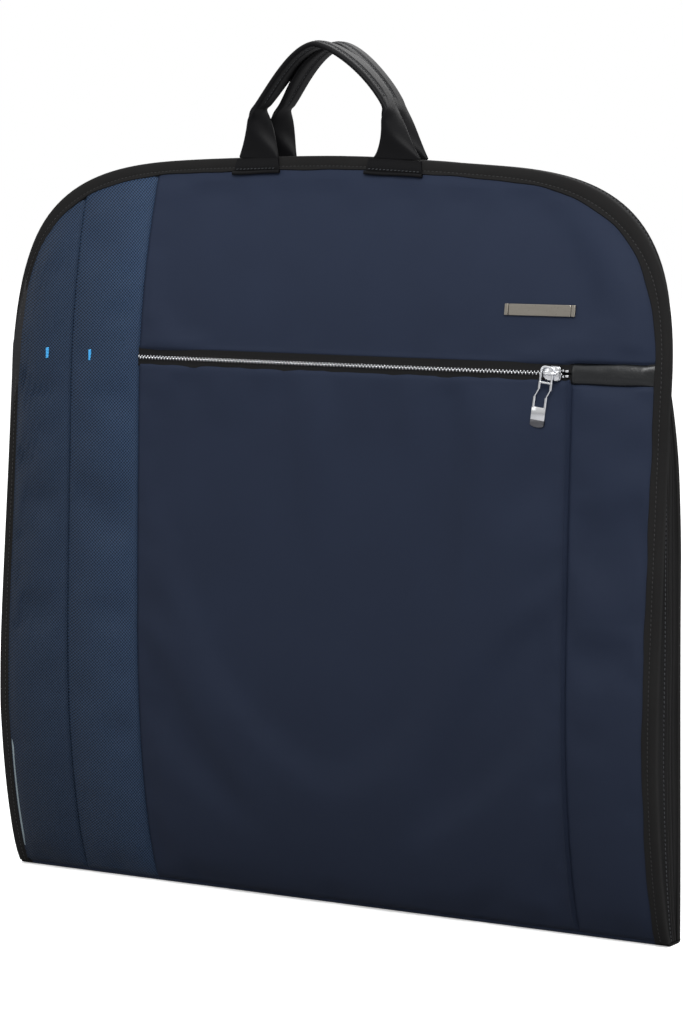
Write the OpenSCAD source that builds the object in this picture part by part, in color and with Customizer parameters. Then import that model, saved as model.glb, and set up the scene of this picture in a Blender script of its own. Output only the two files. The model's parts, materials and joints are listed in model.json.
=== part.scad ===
// Bi-fold garment bag: two flat halves joined along a fold at the foot, each with its own
// carry handle, compartment and inner panel. The front half carries a zipped pocket.
// +Z is up, -Y is the front, and the origin is the middle of the foot.

/* [Outline] */
// Width across the bound edges
bag_w = 560; // [460:5:640]
// Height of the folded body, without the handles
bag_h = 554; // [460:2:640]
// Half length of the flat run along the crown
crown_flat = 85; // [80:1:120]
// Half length at which the crown's tangent lets go of the shoulder curve
crown_run = 205; // [160:5:225]
// Height over which the shoulders round off
shoulder_drop = 156; // [120:2:190]
// How far the shoulder curve pulls up, which squares the corner
shoulder_pull = 144; // [110:2:160]
// How much lower the rear half's rounder shoulders turn in
rear_slump = 70; // [0:5:90]

/* [Depth] */
// Half width of the flat foot
foot_half = 9; // [8:0.5:12]
// How far the front face swells out from the foot's middle
front_depth = 41; // [38:0.5:48]
// Front face's distance at the crown
crown_front = 13; // [11:0.5:18]
// Rear face's distance at the crown
crown_rear = 7; // [6.5:0.5:12]
// How far the rear face bows forward with the front
rear_bow = 10; // [4:0.5:11]
// How far the parting between the halves bows forward
bow = 19; // [16:0.5:20]
// Height over which the foot swells to the full depth
foot_len = 200; // [140:5:220]
// Height over which the crown thins
crown_len = 170; // [150:5:200]

/* [Shell] */
// Thickness of the foam-backed face fabric
panel_t = 2.4; // [1.6:0.1:3]
// Thickness of the lining and inner panels
lining_t = 1; // [0.8:0.1:1.4]
// Thickness of the side gussets
gusset_t = 1.6; // [1.2:0.1:2.4]
// Width of the edge binding on the faces
binding_w = 10; // [8:0.5:14]
// Depth of the edge binding
binding_t = 3; // [2.6:0.1:4]
// Width of the binding round each inner panel
rim_w = 8; // [6:0.5:12]
// Depth of that inner binding
rim_t = 2.4; // [1.8:0.1:3.2]
// How deep each inner panel lies below its rim
inner_recess = 4.5; // [4:0.1:5.5]

/* [Face seams] */
// Width of the outer textured strip
strip_outer_w = 55; // [40:1:70]
// Width of the inner textured strip
strip_inner_w = 65; // [45:1:80]
// Width of the plain strip at the other side
side_strip_w = 60; // [50:1:80]
// Length and width of the contrast bar tacks
tack_l = 7.5; // [5:0.5:10]
tack_w = 1.6; // [1.2:0.1:2.4]
// Distance of each bar tack from the seam between the textured strips
tack_offset = 21.5; // [12:0.5:26]
// Height of the piping let into the lower outer edge
piping_h = 90; // [60:2:130]
// Diameter of that piping
piping_d = 2.4; // [2:0.1:3]

/* [Pocket zip] */
// Distance from the crown down to the zip
zip_drop = 149; // [120:1:180]
// Visible width of each zip tape
tape_w = 4.4; // [4:0.2:6]
// Width of the meshed teeth
chain_w = 2.4; // [2:0.1:3.2]
// Thickness of the tapes
tape_t = 0.8; // [0.6:0.1:1.2]
// How far the teeth stand proud of the tapes
chain_t = 1.8; // [1.4:0.1:2.4]
// Height of the padded zip garage
garage_h = 15; // [13:0.5:20]
// How far the garage swells beyond the face
garage_bulge = 1.2; // [0.6:0.1:1.6]
// Depth of the pocket behind the face
pocket_depth = 5.6; // [5:0.2:7]
// How far the pocket bag reaches below the zip
pocket_drop = 280; // [230:5:300]

/* [Slider] */
// Length, width and height of a slider body
slider_l = 12; // [11:0.5:14]
slider_w = 10; // [8:0.5:12]
slider_t = 3.2; // [2.8:0.1:3.6]
// Distance from the closed slider to the end of the zip
slider_back = 10; // [8:0.5:14]
// Thickness and width of a cast puller
puller_t = 1.4; // [1.2:0.1:1.6]
puller_w = 11.6; // [10.5:0.1:13]
// Length below the bridge of the pocket puller and of the inner one
pocket_puller_l = 39; // [34:1:46]
inner_puller_l = 36; // [34:1:40]
// How far the pocket puller leans
puller_lean = 7; // [0:1:12]

/* [Badge] */
// Length, height and thickness of the plain metal plate
badge_l = 54; // [40:1:66]
badge_h = 8.6; // [7:0.2:12]
badge_t = 1.6; // [1.2:0.1:2]
// Distance from the bag's edge to the plate's end
badge_edge = 70; // [50:1:90]
// Height of the plate above the zip
badge_rise = 44; // [30:1:60]

/* [Handles] */
// Distance between a handle's two legs
handle_span = 118; // [100:1:140]
// Width of a leg where it is sewn down
leg_w = 40; // [30:1:46]
// Thickness of a leg
leg_t = 3; // [2.4:0.1:4]
// Width of a leg where the grip begins
leg_top_w = 20; // [16:1:24]
// How far a leg leans inwards up to the grip
leg_lean = 4; // [0:0.5:8]
// Height of a handle above the crown
handle_rise = 86; // [76:1:110]
// Width and thickness of the folded grip
grip_w = 19; // [16:0.5:21]
grip_t = 6; // [5:0.5:8]
// Distance from the legs' plane outwards to the grip's centre
grip_out = 0; // [0:0.5:2]
// Thickness of the sewn-down tabs
tab_t = 1.8; // [1.4:0.1:2.4]

/* [Inside] */
// Distance from the bag's edge to the main zip
main_zip_edge = 105; // [90:1:140]
// Distance from the crown down to the main zip's end
main_zip_top = 70; // [66:1:100]
// Width, height and thickness of the hanger bracket
bracket_w = 56; // [46:1:70]
bracket_h = 34; // [28:1:40]
bracket_t = 1.8; // [1.4:0.1:2.2]
// Distance from the crown down to the bracket's centre
bracket_drop = 96; // [90:1:120]
// Width of the garment strap
strap_w = 30; // [20:1:40]
// Height of the garment strap above the foot
strap_z = 250; // [200:5:300]

/* [Hidden] */

half_w = bag_w / 2;
face_half = half_w - binding_w;
gap = 0.3;                     // running gap between pieces that move apart
big = 400;                     // reach of a cutting slab beyond the body
arc_steps = 22;                // points along one shoulder
profile_step = 14;             // height between points of a depth profile
foot_top = panel_t + gap;      // where the two halves begin above the foot
bow_len = 90;                   // heights over which the parting bows out and back
bow_top = 80;

seam_outer_x = -face_half + strip_outer_w;
seam_inner_x = seam_outer_x + strip_inner_w;
seam_side_x = face_half - side_strip_w;
zip_z = bag_h - zip_drop;
zip_half = tape_w + chain_w / 2;
slider_x = seam_side_x - slider_l / 2 - slider_back;
main_zip_x = half_w - main_zip_edge;
main_top_z = bag_h - main_zip_top;
bracket_z = bag_h - bracket_drop;

function clamped(t) = max(0, min(1, t));
function foot_swell(z) = pow(1 - pow(1 - clamped(z / foot_len), 2), 0.65);
function crown_thin(z, share) =
    share + (1 - share) * (1 - pow(1 - clamped((bag_h - z) / crown_len), 2));
// The faces and the parting between the halves, at a height. All three bow forward.
function front_y(z) =
    -(foot_half + (front_depth - foot_half) * foot_swell(z))
    * crown_thin(z, crown_front / front_depth);
function rear_y(z) =
    foot_half + (crown_rear - foot_half) * z / bag_h
    - rear_bow * sin(180 * pow(clamped(z / bag_h), 1.3));
function parting_y(z) =
    -bow * sin(90 * clamped(z / bow_len)) * (0.1 + 0.9 * sin(90 * clamped((bag_h - z) / bow_top)));

// One shoulder, from the end of the flat crown to the side, as a cubic curve. The outline
// is set in by a margin, and slump lowers the place where it turns in.
function bezier(p, t) =
    pow(1 - t, 3) * p[0] + 3 * pow(1 - t, 2) * t * p[1] + 3 * (1 - t) * t * t * p[2]
    + pow(t, 3) * p[3];
function shoulder(inset, slump) =
    let (top = bag_h - inset, side = half_w - inset, turn = bag_h - shoulder_drop - slump)
    [[crown_flat, top], [crown_run - inset, top], [side, turn + shoulder_pull - inset],
     [side, turn]];
function shoulder_points(inset, slump) =
    [for (i = [0:arc_steps]) bezier(shoulder(inset, slump), i / arc_steps)];
function mirrored(points) =
    [for (i = [len(points) - 1:-1:0]) [-points[i][0], points[i][1]]];

// The body's outline as seen from the front, standing in the XZ plane and cut to a box
module outline(inset, slump, x0, x1, z0, z1) {
    right = shoulder_points(inset, slump);
    rotate([90, 0, 0])
        translate([0, 0, -big])
            linear_extrude(2 * big)
                intersection() {
                    polygon(concat(mirrored(right), right,
                                   [[half_w - inset, 0], [-half_w + inset, 0]]));
                    translate([x0, z0])
                        square([x1 - x0, z1 - z0]);
                }
}

// Every layer bends at the same heights, so that layers laid on each other fit exactly
function heights(z0, z1) = concat(
    [z0], [for (i = [floor(z0 / profile_step) + 1:ceil(z1 / profile_step) - 1]) i * profile_step],
    [z1]);
function named_y(name, z) =
    name == "front" ? front_y(z) : name == "rear" ? rear_y(z) : parting_y(z);
function surface_y(name, z) =
    let (low = floor(z / profile_step) * profile_step,
         high = min(low + profile_step, bag_h),
         share = high > low ? (z - low) / (high - low) : 0)
    named_y(name, low) * (1 - share) + named_y(name, high) * share;

// A layer whose two faces follow the named surface ("front", "rear" or "parting"),
// from offset d0 to offset d1 along +Y, spanning x0 to x1 and z0 to z1
module layer(name_a, d0, name_b, d1, x0, x1, z0, z1) {
    up = heights(z0, z1);
    near = [for (z = up) [surface_y(name_a, z) + d0, z]];
    far = [for (i = [len(up) - 1:-1:0]) [surface_y(name_b, up[i]) + d1, up[i]]];
    translate([x0, 0, 0])
        rotate([90, 0, 90])
            linear_extrude(x1 - x0)
                polygon(concat(near, far));
}

// A piece of a curved layer, trimmed to the body's outline
module sheet(name, d0, d1, inset, slump, x0, x1, z0, z1) {
    intersection() {
        layer(name, d0, name, d1, x0, x1, z0, z1);
        outline(inset, slump, x0, x1, z0, z1);
    }
}

// A band that follows the outline, from the edge to an inset
module band(name_a, d0, name_b, d1, width, slump) {
    difference() {
        intersection() {
            layer(name_a, d0, name_b, d1, -half_w, half_w, foot_top, bag_h);
            outline(0, slump, -half_w, half_w, foot_top, bag_h);
        }
        outline(width, slump, -half_w, half_w, -1, bag_h);
    }
}

// ---- front half: face -------------------------------------------------------------

module face_panel(x0, x1, z0, z1) {
    sheet("front", 0, panel_t, binding_w, 0, x0, x1, z0, z1);
}
module front_upper_panel() {
    color([0.17, 0.20, 0.30])
        difference() {
            face_panel(seam_inner_x, face_half, zip_z + zip_half, bag_h);
            garage_window();
        }
}
module front_pocket_panel() {
    color([0.15, 0.17, 0.26])
        face_panel(seam_inner_x, seam_side_x, foot_top, zip_z - zip_half);
}
module front_side_panel() {
    color([0.15, 0.17, 0.26])
        face_panel(seam_side_x, face_half, foot_top, zip_z - garage_h / 2);
}
module textured_inner_strip() {
    color([0.13, 0.22, 0.34])
        face_panel(seam_outer_x, seam_inner_x, foot_top, bag_h);
}
module textured_outer_strip() {
    color([0.13, 0.22, 0.34])
        difference() {
            face_panel(-face_half, seam_outer_x, foot_top, bag_h);
            piping_bed();
        }
}
tack_t = 0.6;
module bar_tacks() {
    for (side = [-1, 1])
        color([0.05, 0.60, 0.90])
            translate([seam_outer_x + side * tack_offset, 0, 0])
                layer("front", -tack_t, "front", 0, -tack_w / 2, tack_w / 2,
                      zip_z - tack_l / 2, zip_z + tack_l / 2);
}

// Piping let into the lower part of the outer strip's edge
piping_z0 = 16;                 // where the piping starts above the foot
piping_proud = 0.4;             // how far it stands out of the face
module piping_bed() {
    layer("front", -1, "front", panel_t + 1, -face_half - 1, -face_half + piping_d,
          piping_z0, piping_z0 + piping_h);
}
module edge_piping() {
    color([0.55, 0.62, 0.66])
        layer("front", -piping_proud, "front", panel_t, -face_half, -face_half + piping_d,
              piping_z0, piping_z0 + piping_h);
}

// ---- front half: edges, gusset and linings -----------------------------------------

module front_binding() {
    color([0.10, 0.10, 0.10])
        band("front", 0, "front", binding_t, binding_w, 0);
}
module front_gusset() {
    color([0.11, 0.11, 0.11])
        band("front", binding_t, "parting", -gap - rim_t, gusset_t, 0);
}
module front_inner_rim() {
    color([0.10, 0.10, 0.10])
        band("parting", -gap - rim_t, "parting", -gap, rim_w, 0);
}
inner_y = gap + inner_recess;   // depth of an inner panel's face below the parting
fold_room = 4;                  // the inner panels end this far above the fold
lining_z0 = foot_top + fold_room;
// The layer of an inner panel, sunk between two depths below the parting on one side
module inner_layer(side, near, far, x0, x1, z0, z1) {
    layer("parting", min(side * near, side * far), "parting", max(side * near, side * far),
          x0, x1, z0, z1);
}
module inner_sheet(side, thick, x0, x1) {
    intersection() {
        inner_layer(side, inner_y, inner_y + thick, x0, x1, lining_z0, bag_h - gusset_t);
        outline(gusset_t, side < 0 ? 0 : rear_slump, x0, x1, lining_z0, bag_h - gusset_t);
    }
}
module lining_wide(side) {
    color([0.08, 0.08, 0.09])
        inner_sheet(side, lining_t, -half_w + gusset_t, main_zip_x - zip_half);
}
module lining_narrow(side) {
    color([0.08, 0.08, 0.09])
        inner_sheet(side, lining_t, main_zip_x + zip_half, half_w - gusset_t);
}
module main_tapes(side) {
    for (s = [-1, 1])
        color([0.07, 0.07, 0.07])
            inner_sheet(side, tape_t,
                        main_zip_x + (s < 0 ? -zip_half : chain_w / 2),
                        main_zip_x + (s < 0 ? -chain_w / 2 : zip_half));
}
module main_chain(side) {
    color([0.75, 0.75, 0.77])
        inner_layer(side, inner_y + tape_t - chain_t, inner_y + tape_t,
                    main_zip_x - chain_w / 2, main_zip_x + chain_w / 2, lining_z0,
                    main_top_z);
}
module front_lining_wide() { lining_wide(-1); }
module front_lining_narrow() { lining_narrow(-1); }
module front_main_tapes() { main_tapes(-1); }
module front_main_chain() { main_chain(-1); }

// ---- front half: pocket -------------------------------------------------------------

// Pocket bag: a back sheet and a folded rim that meets the face panel all round
pocket_side = 2;                // how far the bag lies in from the seams at its sides
pocket_rise = 14;               // how far it reaches above the zip
module pocket_bag() {
    bag_x0 = seam_inner_x + pocket_side;
    bag_x1 = seam_side_x - pocket_side;
    bag_z1 = zip_z + zip_half + pocket_rise;
    bag_z0 = zip_z - pocket_drop;
    d = panel_t + pocket_depth;
    color([0.20, 0.20, 0.22])
        difference() {
            layer("front", panel_t, "front", d + lining_t, bag_x0, bag_x1, bag_z0, bag_z1);
            layer("front", panel_t - 1, "front", d, bag_x0 + lining_t, bag_x1 - lining_t,
                  bag_z0 + lining_t, bag_z1 - lining_t);
        }
}
tape_in = 0.8;                  // how far the tapes lie below the face
module pocket_tape(z0, z1) {
    color([0.09, 0.09, 0.09])
        layer("front", tape_in, "front", tape_in + tape_t, seam_inner_x, seam_side_x, z0, z1);
}
module pocket_tape_upper() { pocket_tape(zip_z + chain_w / 2, zip_z + zip_half); }
module pocket_tape_lower() { pocket_tape(zip_z - zip_half, zip_z - chain_w / 2); }
chain_back = 3;                 // the teeth end this far before the side seam
chain_end_x = seam_side_x - chain_back;
module pocket_chain() {
    color([0.85, 0.85, 0.87])
        layer("front", tape_in + tape_t - chain_t, "front", tape_in + tape_t, seam_inner_x,
              chain_end_x, zip_z - chain_w / 2, zip_z + chain_w / 2);
}
stop_half = 0.7;                // half width of a stop across the zip
stop_out = chain_w / 2 + 0.8;   // distance of its middle from the zip's
stop_before = 1.6;              // how far a pocket stop reaches either side of the teeth's end
stop_past = 0.6;
module pocket_stops() {
    for (s = [-1, 1])
        color([0.80, 0.80, 0.82])
            layer("front", tape_in - chain_t, "front", tape_in, chain_end_x - stop_before,
                  chain_end_x + stop_past, zip_z + s * stop_out - stop_half,
                  zip_z + s * stop_out + stop_half);
}
module garage_window() {
    layer("front", -1, "front", panel_t + 1, seam_side_x, face_half + 1,
          zip_z - garage_h / 2, zip_z + garage_h / 2);
}
module zip_garage() {
    color([0.09, 0.10, 0.11])
        intersection() {
            layer("front", -garage_bulge, "front", panel_t, seam_side_x, face_half,
                  zip_z - garage_h / 2, zip_z + garage_h / 2);
            outline(binding_w, 0, seam_side_x, face_half, 0, bag_h);
        }
}

// ---- sliders and pullers ----------------------------------------------------------

// A slider body lying in the XZ plane with its travel along X, its back at y = 0 and its
// outer face towards -Y. The shoulders narrow towards the teeth it closes.
module slider_body() {
    rotate([90, 0, 0])
        linear_extrude(slider_t)
            polygon([
                [-slider_l / 2, -slider_w * 0.3], [-slider_l * 0.05, -slider_w / 2],
                [slider_l * 0.38, -slider_w / 2], [slider_l / 2, -slider_w * 0.28],
                [slider_l / 2, slider_w * 0.28], [slider_l * 0.38, slider_w / 2],
                [-slider_l * 0.05, slider_w / 2], [-slider_l / 2, slider_w * 0.3]
            ]);
}
// The bridge is an arch along the travel, on two feet, which the puller's frame hangs on
bridge_t = 1.2;
bridge_w = 2;
bridge_half = slider_l * 0.36;
bridge_room = puller_t + 0.8;
module bridge_arch() {
    difference() {
        translate([-bridge_half, -slider_t - bridge_room - bridge_t, -bridge_w / 2])
            cube([2 * bridge_half, bridge_room + bridge_t, bridge_w]);
        translate([-bridge_half + bridge_t, -slider_t - bridge_room, -bridge_w])
            cube([2 * (bridge_half - bridge_t), bridge_room + 1, 2 * bridge_w]);
    }
}
puller_y = slider_t + bridge_room / 2;   // the puller's middle plane, out from the slider
bar_w = 2;                      // width of the frame's bars
eye_top = 4.4;                  // the eye's reach beyond and below the bridge
eye_low = 5.6;
waist_h = 6;                    // height and sideways step of the open waist
waist_step = 2.6;
crossbar_h = 4;                 // height of the crossbar under the eye
tab_l = 13;                     // length of the solid tab
// A cast puller hanging flat in the XZ plane, drawn from its left edge x0 and its top z1:
// an eye, a crossbar, an open waist that steps aside, and a frame with a solid tab
module puller(length, x0, z1) {
    waist_z = -eye_low - bar_w - crossbar_h;
    function side_line(x, top, low) =
        [[x, top], [x, waist_z], [x - waist_step, waist_z - waist_h], [x - waist_step, low]];
    function turned(points) = [for (i = [len(points) - 1:-1:0]) points[i]];
    x1 = x0 + puller_w;
    rotate([90, 0, 0])
        translate([0, 0, -puller_t / 2])
            linear_extrude(puller_t)
                difference() {
                    polygon(concat(side_line(x0, z1, -length),
                                   turned(side_line(x1, z1, -length))));
                    translate([x0 + bar_w, -eye_low])
                        square([puller_w - 2 * bar_w, z1 - bar_w + eye_low]);
                    polygon(concat(
                        side_line(x0 + bar_w, -eye_low - bar_w, -length + tab_l),
                        turned(side_line(x1 - bar_w, -eye_low - bar_w, -length + tab_l))));
                }
}
pocket_seat_y = surface_y("front", zip_z) + tape_in + tape_t - chain_t - gap;
module at_pocket_slider() { translate([slider_x, pocket_seat_y, zip_z]) children(); }
module pocket_slider() { color([0.78, 0.78, 0.80]) at_pocket_slider() slider_body(); }
module pocket_slider_bridge() { color([0.78, 0.78, 0.80]) at_pocket_slider() bridge_arch(); }
module pocket_puller() {
    color([0.80, 0.80, 0.82])
        at_pocket_slider()
            translate([0, -puller_y, 0])
                rotate([0, puller_lean, 0])
                    puller(pocket_puller_l, bar_w / 2 - puller_w, eye_top + bar_w);
}

// ---- badge --------------------------------------------------------------------------

badge_x1 = half_w - badge_edge;
badge_z = zip_z + badge_rise;
groove_in = 3;                  // each groove's distance from the plate's end
groove_w = 0.5;
groove_d = 0.3;
module badge_plate() {
    color([0.55, 0.53, 0.50])
        difference() {
            layer("front", -badge_t, "front", 0, badge_x1 - badge_l, badge_x1,
                  badge_z - badge_h / 2, badge_z + badge_h / 2);
            for (x = [badge_x1 - badge_l + groove_in, badge_x1 - groove_in])
                translate([x - groove_w / 2, 0, 0])
                    layer("front", -badge_t - 1, "front", -badge_t + groove_d, 0, groove_w,
                          badge_z - badge_h, badge_z + badge_h);
        }
}
washer_t = 0.6;                 // the backing washer, and how far it lies in from the plate
washer_end = 5;
washer_side = 1.5;
module badge_washer() {
    color([0.5, 0.5, 0.5])
        layer("front", panel_t, "front", panel_t + washer_t,
              badge_x1 - badge_l + washer_end, badge_x1 - washer_end,
              badge_z - badge_h / 2 + washer_side, badge_z + badge_h / 2 - washer_side);
}

// ---- handles ------------------------------------------------------------------------

tab_drop = binding_w + 3;       // how far the tabs reach down, past the binding
module handle_tabs(side) {
    name = side < 0 ? "front" : "rear";
    for (s = [-1, 1])
        color([0.07, 0.07, 0.08])
            translate([s * handle_span / 2, 0, 0])
                layer(name, min(0, side * tab_t), name, max(0, side * tab_t),
                      -leg_w / 2, leg_w / 2, bag_h - tab_drop, bag_h);
}
module front_handle_tabs() { handle_tabs(-1); }
module rear_handle_tabs() { handle_tabs(1); }

// A handle's hinge line lies above its tabs, and the handle is drawn from that line
pivot_z = bag_h + leg_t / 2 + gap;
tab_gap = 0.5;                  // the hinge line's distance out from the tabs' outer face
grip_z0 = 36;                   // where the legs end and the folded grip begins
leg_top_x = handle_span / 2 - leg_lean;
module handle_legs() {
    for (s = [-1, 1])
        translate([s * handle_span / 2, 0, 0]) {
            rotate([0, 90, 0])
                translate([0, 0, -leg_w / 2])
                    cylinder(h = leg_w, d = leg_t, $fn = 32);
            rotate([90, 0, 0])
                translate([0, 0, -leg_t / 2])
                    linear_extrude(leg_t)
                        polygon([[-leg_w / 2, 0], [leg_w / 2, 0],
                                 [leg_top_w / 2 - s * leg_lean, grip_z0],
                                 [-leg_top_w / 2 - s * leg_lean, grip_z0]]);
        }
}
arch_steps = 10;
function arch_side(half_span, rise) =
    [for (i = [0:arch_steps])
        bezier([[half_span, 0], [half_span * 0.92, rise * 0.42], [half_span * 0.42, rise],
                [0, rise]], i / arch_steps)];
module arch_half() {
    rise = handle_rise - grip_z0;
    outer = arch_side(leg_top_x + grip_t / 2, rise);
    inner = arch_side(leg_top_x - grip_t / 2, rise - grip_t);
    rotate([90, 0, 0])
        translate([0, 0, -grip_w / 2])
            linear_extrude(grip_w)
                polygon(concat(outer, [for (i = [arch_steps:-1:0]) inner[i]]));
}
module handle_grip(side) {
    translate([0, side * grip_out, grip_z0]) {
        arch_half();
        mirror([1, 0, 0]) arch_half();
    }
}
module at_handle(side) {
    seat_y = side < 0 ? front_y(bag_h) : rear_y(bag_h);
    translate([0, seat_y + side * (tab_t + tab_gap), pivot_z]) children();
}
module front_handle_legs() { color([0.07, 0.07, 0.08]) at_handle(-1) handle_legs(); }
module front_handle_grip() { color([0.07, 0.07, 0.08]) at_handle(-1) handle_grip(-1); }
module rear_handle_legs() { color([0.07, 0.07, 0.08]) at_handle(1) handle_legs(); }
module rear_handle_grip() { color([0.07, 0.07, 0.08]) at_handle(1) handle_grip(1); }

// ---- fold ---------------------------------------------------------------------------
// The strip under the fold turns on the front half along its front edge, and the rear half
// turns on it along its rear edge, so the bag can open out flat.

module fold_strip() {
    color([0.14, 0.16, 0.25])
        translate([-face_half, -foot_half, 0])
            cube([2 * face_half, 2 * foot_half, panel_t]);
}
module fold_edge_tapes() {
    for (s = [-1, 1])
        color([0.10, 0.10, 0.10])
            translate([s * (face_half + binding_w / 2) - binding_w / 2, -foot_half, 0])
                cube([binding_w, 2 * foot_half, panel_t]);
}

// ---- rear half ------------------------------------------------------------------------

module rear_panel() {
    color([0.15, 0.17, 0.26])
        sheet("rear", -panel_t, 0, binding_w, rear_slump, -face_half, face_half, foot_top,
              bag_h);
}
module rear_binding() {
    color([0.10, 0.10, 0.10])
        band("rear", -binding_t, "rear", 0, binding_w, rear_slump);
}
module rear_gusset() {
    color([0.11, 0.11, 0.11])
        band("parting", gap + rim_t, "rear", -binding_t, gusset_t, rear_slump);
}
module rear_inner_rim() {
    color([0.10, 0.10, 0.10])
        band("parting", gap, "parting", gap + rim_t, rim_w, rear_slump);
}
module rear_lining_wide() { lining_wide(1); }
module rear_lining_narrow() { lining_narrow(1); }
module rear_main_tapes() { main_tapes(1); }
module rear_main_chain() { main_chain(1); }
main_stop_l = 2;                // length and height of a stop at the main zip's top
main_stop_t = 1;
module rear_main_stops() {
    for (s = [-1, 1])
        color([0.75, 0.75, 0.77])
            translate([main_zip_x + s * stop_out - stop_half, 0, 0])
                inner_layer(1, inner_y - main_stop_t, inner_y, 0, 2 * stop_half,
                            main_top_z - main_stop_l, main_top_z);
}
main_slider_back = 3;           // the closed slider rests this far below the teeth's top
main_slider_z = main_top_z - slider_l / 2 - main_slider_back;
main_seat_y = surface_y("parting", main_slider_z) + inner_y + tape_t - chain_t - gap;
module at_main_slider() {
    translate([main_zip_x, main_seat_y, main_slider_z]) children();
}
module main_slider() {
    color([0.30, 0.30, 0.32]) at_main_slider() rotate([0, -90, 0]) slider_body();
}
module main_slider_bridge() {
    color([0.30, 0.30, 0.32]) at_main_slider() rotate([0, -90, 0]) bridge_arch();
}
module main_puller() {
    color([0.30, 0.30, 0.32])
        at_main_slider()
            translate([0, -puller_y, 0])
                puller(inner_puller_l, -puller_w / 2, bar_w / 2);
}

// Hanger bracket: a tray riveted to the rear panel, with a latch that swings over the hooks
seam_room = 0.4;                // room for thread between the rear panel and what it carries
bracket_y = surface_y("rear", bracket_z - bracket_h / 2) - panel_t - seam_room;
slot_w = 12;                    // the slot for the hooks, and its share of the tray's height
slot_share = 0.4;
rivet_r = 2;
rivet_x = 18;                   // the rivet's distance from the bag's middle
bore_gap = 0.05;                // the bores' clearance round the rivet
latch_t = 2;
latch_hub = 9;                  // the latch's round end, its arm and the catch at its tip
latch_reach = 34;
latch_w = 6;
catch_w = 4;
catch_drop = 8;
latch_y = bracket_y - bracket_t - gap;
module hanger_bracket() {
    color([0.12, 0.12, 0.13])
        translate([-bracket_w / 2, 0, bracket_z - bracket_h / 2])
            difference() {
                translate([0, bracket_y - bracket_t, 0])
                    cube([bracket_w, bracket_t, bracket_h]);
                translate([(bracket_w - slot_w) / 2, bracket_y - bracket_t - 1, -1])
                    cube([slot_w, bracket_t + 2, bracket_h * slot_share]);
                translate([bracket_w / 2 + rivet_x, 0, bracket_h / 2])
                    rotate([90, 0, 0])
                        cylinder(h = 80, r = rivet_r + bore_gap, center = true, $fn = 48);
            }
}
module hanger_rivet() {
    color([0.6, 0.6, 0.6])
        translate([rivet_x, bracket_y, bracket_z])
            rotate([90, 0, 0])
                cylinder(h = bracket_t + latch_t + 2 * gap, r = rivet_r, $fn = 48);
}
module hanger_latch() {
    color([0.12, 0.12, 0.13])
        translate([rivet_x, latch_y, bracket_z])
            rotate([90, 0, 0])
                linear_extrude(latch_t)
                    difference() {
                        union() {
                            circle(d = latch_hub, $fn = 48);
                            translate([-latch_reach, -latch_w / 2])
                                square([latch_reach, latch_w]);
                            translate([-latch_reach, -catch_drop])
                                square([catch_w, catch_drop]);
                        }
                        circle(r = rivet_r + bore_gap, $fn = 48);
                    }
}
// Garment strap, held to the rear panel by an anchor at each end
strap_t = 1.2;
strap_x0 = -half_w + 110;       // the strap's ends; the right one clears the main zip
strap_x1 = half_w - 150;
anchor_t = 1.8;
anchor_half = 4;                // half width of an anchor, and how far it overlaps the strap
anchor_past = 2;                // how far it reaches past the strap's edges
strap_d = -panel_t - seam_room - strap_t;
module garment_strap() {
    color([0.10, 0.10, 0.11])
        layer("rear", strap_d, "rear", strap_d + strap_t, strap_x0, strap_x1,
              strap_z - strap_w / 2, strap_z + strap_w / 2);
}
module strap_anchors() {
    for (x = [strap_x0 + anchor_half, strap_x1 - anchor_half])
        color([0.12, 0.12, 0.13])
            translate([x, 0, 0])
                layer("rear", strap_d - anchor_t, "rear", strap_d, -anchor_half, anchor_half,
                      strap_z - strap_w / 2 - anchor_past, strap_z + strap_w / 2 + anchor_past);
}

front_upper_panel();
front_pocket_panel();
front_side_panel();
textured_inner_strip();
textured_outer_strip();
bar_tacks();
edge_piping();
front_binding();
front_gusset();
front_inner_rim();
front_lining_wide();
front_lining_narrow();
front_main_tapes();
front_main_chain();
pocket_bag();
pocket_tape_upper();
pocket_tape_lower();
pocket_chain();
pocket_stops();
zip_garage();
badge_plate();
badge_washer();
front_handle_tabs();
fold_strip();
fold_edge_tapes();
pocket_slider();
pocket_slider_bridge();
pocket_puller();
front_handle_legs();
front_handle_grip();
rear_panel();
rear_binding();
rear_gusset();
rear_inner_rim();
rear_lining_wide();
rear_lining_narrow();
rear_main_tapes();
rear_main_chain();
rear_main_stops();
rear_handle_tabs();
hanger_bracket();
hanger_rivet();
hanger_latch();
garment_strap();
strap_anchors();
main_slider();
main_slider_bridge();
main_puller();
rear_handle_legs();
rear_handle_grip();
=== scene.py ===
import bpy
import bmesh
import json
import math
from mathutils import Vector, Matrix, noise

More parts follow.
